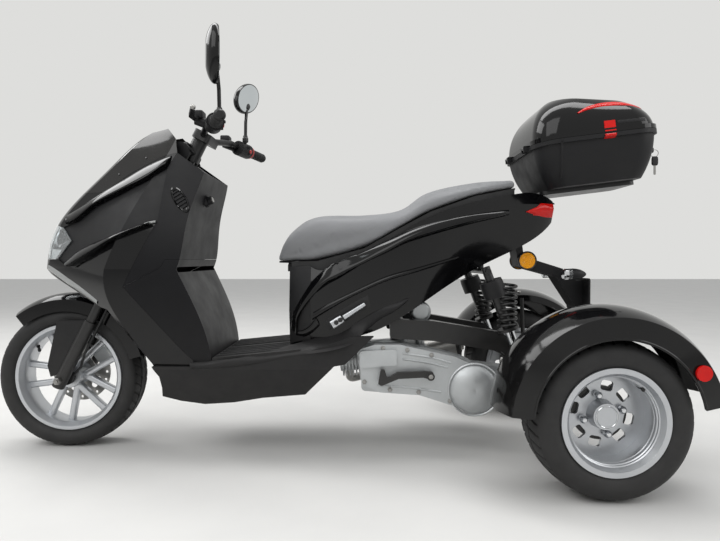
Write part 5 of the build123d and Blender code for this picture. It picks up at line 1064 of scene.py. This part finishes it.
# %% Shock trim
SHOCK_RISE = np.array((91.0, 0.0, 240.0))
SHOCK_LONG = float(np.linalg.norm(SHOCK_RISE))
shock_tube = [(0, 16), (14, 16), (14.5, 18), (14.5, 57), (0, 57)]
shroud = [(r, SHOCK_LONG - drop) for r, drop in ((20, 84), (36, 84), (36.5, 44), (34.5, 31), (20, 31))]
for name, side in SIDES:
    low = np.array((-606.0, side * 165.0, 352.0))
    skin("shock_tube_" + name, "chassis", bright_plating, [knob(low, SHOCK_RISE, shock_tube, 36)])
    skin("shock_shroud_" + name, "chassis", grained_pp, [turned(shroud, low, SHOCK_RISE, 48)], wrap_rows=True)
print("shock length", round(SHOCK_LONG), "mm")

# %% [markdown]
# Behind the seat a crowned cover closes the tail between the two side panels. It is a
# sheet of a few millimetres, an arch across and straight along, and its edges end
# inside the panels.

# %% Tail cover
# Columns: ahead of the rear axle, height of the panels' top edge, half width there.
TAIL_EDGE = np.array([(20, 820, 74), (172, 842, 118), (352, 800, 150)], float)
COVER_DROP, COVER_IN, COVER_CROWN, COVER_THICK = 5.0, 5.0, 11.0, 4.0
x = np.linspace(12.0, 232.0, 30)[:, None]
edge_z, edge_half = (np.interp(x, TAIL_EDGE[:, 0], TAIL_EDGE[:, k]) for k in (1, 2))
share = np.linspace(-1.0, 1.0, 25)
sheet = points(REAR_X + x, (edge_half - COVER_IN) * share, edge_z - COVER_DROP + COVER_CROWN * (1 - share**2))
under = sheet - (0.0, 0.0, COVER_THICK)
tail_cover = skin("tail_cover", "chassis", grained_pp, [np.concatenate([sheet, under[:, ::-1]], axis=1)])
print("tail cover", len(tail_cover.data.polygons), "faces")

# %% [markdown]
# The tail lamp's red lens runs forward along each side panel to a point, with a crease
# along its length. It is a strip laid on panel and lamp, as the strakes are.

# %% Tail lamp wings
wing = strip([(-651, 781), (-684, 774), (-716, 768), (-746, 766)],
             [(-651, 784), (-684, 797), (-716, 806), (-746, 810)],
             ("side_panel_left", "tail_lamp"), 4.0, count=32, across=11, peak=0.6)
tail_lamp_wings = skin("tail_lamp_wings", "chassis", red_lens, [wing], both_sides=True)
print("tail lamp wings", len(tail_lamp_wings.data.polygons), "faces")

# %% [markdown]
# Round amber reflectors on the tail bracket: a moulded lens with ring-shaped facets in a
# dark bezel, both turned about the line that points outwards.

# %% Side reflectors
LENS_R, FACET_PITCH = 26.5, 5.3
reflector_low, reflector_high = np.array(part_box("side_reflectors")) / MM
middle = (reflector_low + reflector_high) / 2
middle[1] = reflector_high[1]
r = np.linspace(LENS_R, 0.0, 28)
facets = np.vstack([[(0, -2), (LENS_R, -2)], np.stack([r, 0.8 + 0.9 * np.abs(np.sin(r * np.pi / FACET_PITCH))], -1)])
rim = [(26.6, -4), (31.5, -4), (31.5, 1.5), (29, 3.5), (26.6, 2)]
skin("reflector_facets", "chassis", amber_lens, [knob(middle, OUT, facets, 48)], both_sides=True)
skin("reflector_bezels", "chassis", painted_steel, [turned(rim, middle, OUT, 48)], wrap_rows=True, both_sides=True)
print("reflectors at y", round(float(middle[1])), "mm")

# %% [markdown]
# The rear turn signals: a short stalk, a bright base ring, a clear lens and a black
# housing that runs to a rounded point. They take the place of the plain solid lamps.

# %% Rear signals
SIGNAL_AT, BACK = np.array((-780.0, 100.0, 582.0)), (-1, 0, 0)
stalk = tube(np.array([(-806, 42.5, 582), (-806, 66, 582), (-806, 92, 582)]), 6.0, 16)
base_ring, lens_ring, housing = (knob(SIGNAL_AT, BACK, profile, 40) for profile in (
    [(0, -2), (15, -2), (18.6, 2), (18.8, 12), (0, 12)],
    [(0, 12), (18.4, 12), (18.6, 24), (0, 24)],
    [(0, 24), (18.9, 24), (18.2, 40), (15, 54), (9, 66), (4, 72), (0, 73.5)]))
signal_housings = skin("signal_housings", "chassis", grained_pp, [stalk, housing], both_sides=True)
skin("signal_bases", "chassis", bright_plating, [base_ring], both_sides=True)
skin("signal_lenses", "chassis", clear_lens, [lens_ring], both_sides=True)
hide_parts("rear_signals")
print("signal housings", len(signal_housings.data.polygons), "faces")

# %% [markdown]
# The floor has moulded rubber ribs so that wet shoes don't slip: ten low rounded bars
# along it, each a tube sunk into the sloping board.

# %% Floor ribs
RIB_Y = (28.0, 62.0, 96.0, 130.0, 164.0)
BOARD_X, BOARD_LONG, BOARD_LOW, BOARD_HIGH, RIB_PROUD = 338.0, 272.0, 326.0, 352.0, 1.0
x = np.linspace(330.0, 76.0, 24)
z = BOARD_LOW + (BOARD_X - x) * (BOARD_HIGH - BOARD_LOW) / BOARD_LONG + RIB_PROUD
skin("floor_ribs", "chassis", grip_rubber, [tube(points(x, y, z), 3.6, 10) for y in RIB_Y], both_sides=True)
print("floor ribs", 2 * len(RIB_Y))

# %% [markdown]
# The silencer on the right carries a bright heat shield, part of a tube wall round it, and
# a turned end cap.

# %% Silencer trim
SHIELD_OUT, SHIELD_IN = 57.0, 54.5
start, end = np.array((-240.0, -201.0, 246.0)), np.array((-450.0, -204.5, 293.0))
line = start + np.linspace(0.0, 1.0, 24)[:, None, None] * (end - start)
angle = np.radians(np.linspace(-70.0, 70.0, 25))[:, None]
around = -np.cos(angle) * OUT + np.sin(angle) * np.cross(unit(end - start), -OUT)
shield = np.concatenate([line + SHIELD_OUT * around, (line + SHIELD_IN * around)[:, ::-1]], axis=1)
skin("heat_shield", "chassis", bright_plating, [shield])
end_cap = [(22, -6), (54, -6), (54, 6), (46, 12), (22, 12)]
skin("silencer_cap", "chassis", painted_steel, [turned(end_cap, (-482, -205, 300), (-0.976, -0.02, 0.217), 48)],
     wrap_rows=True)
print("shield", round(float(np.linalg.norm(end - start))), "mm long")
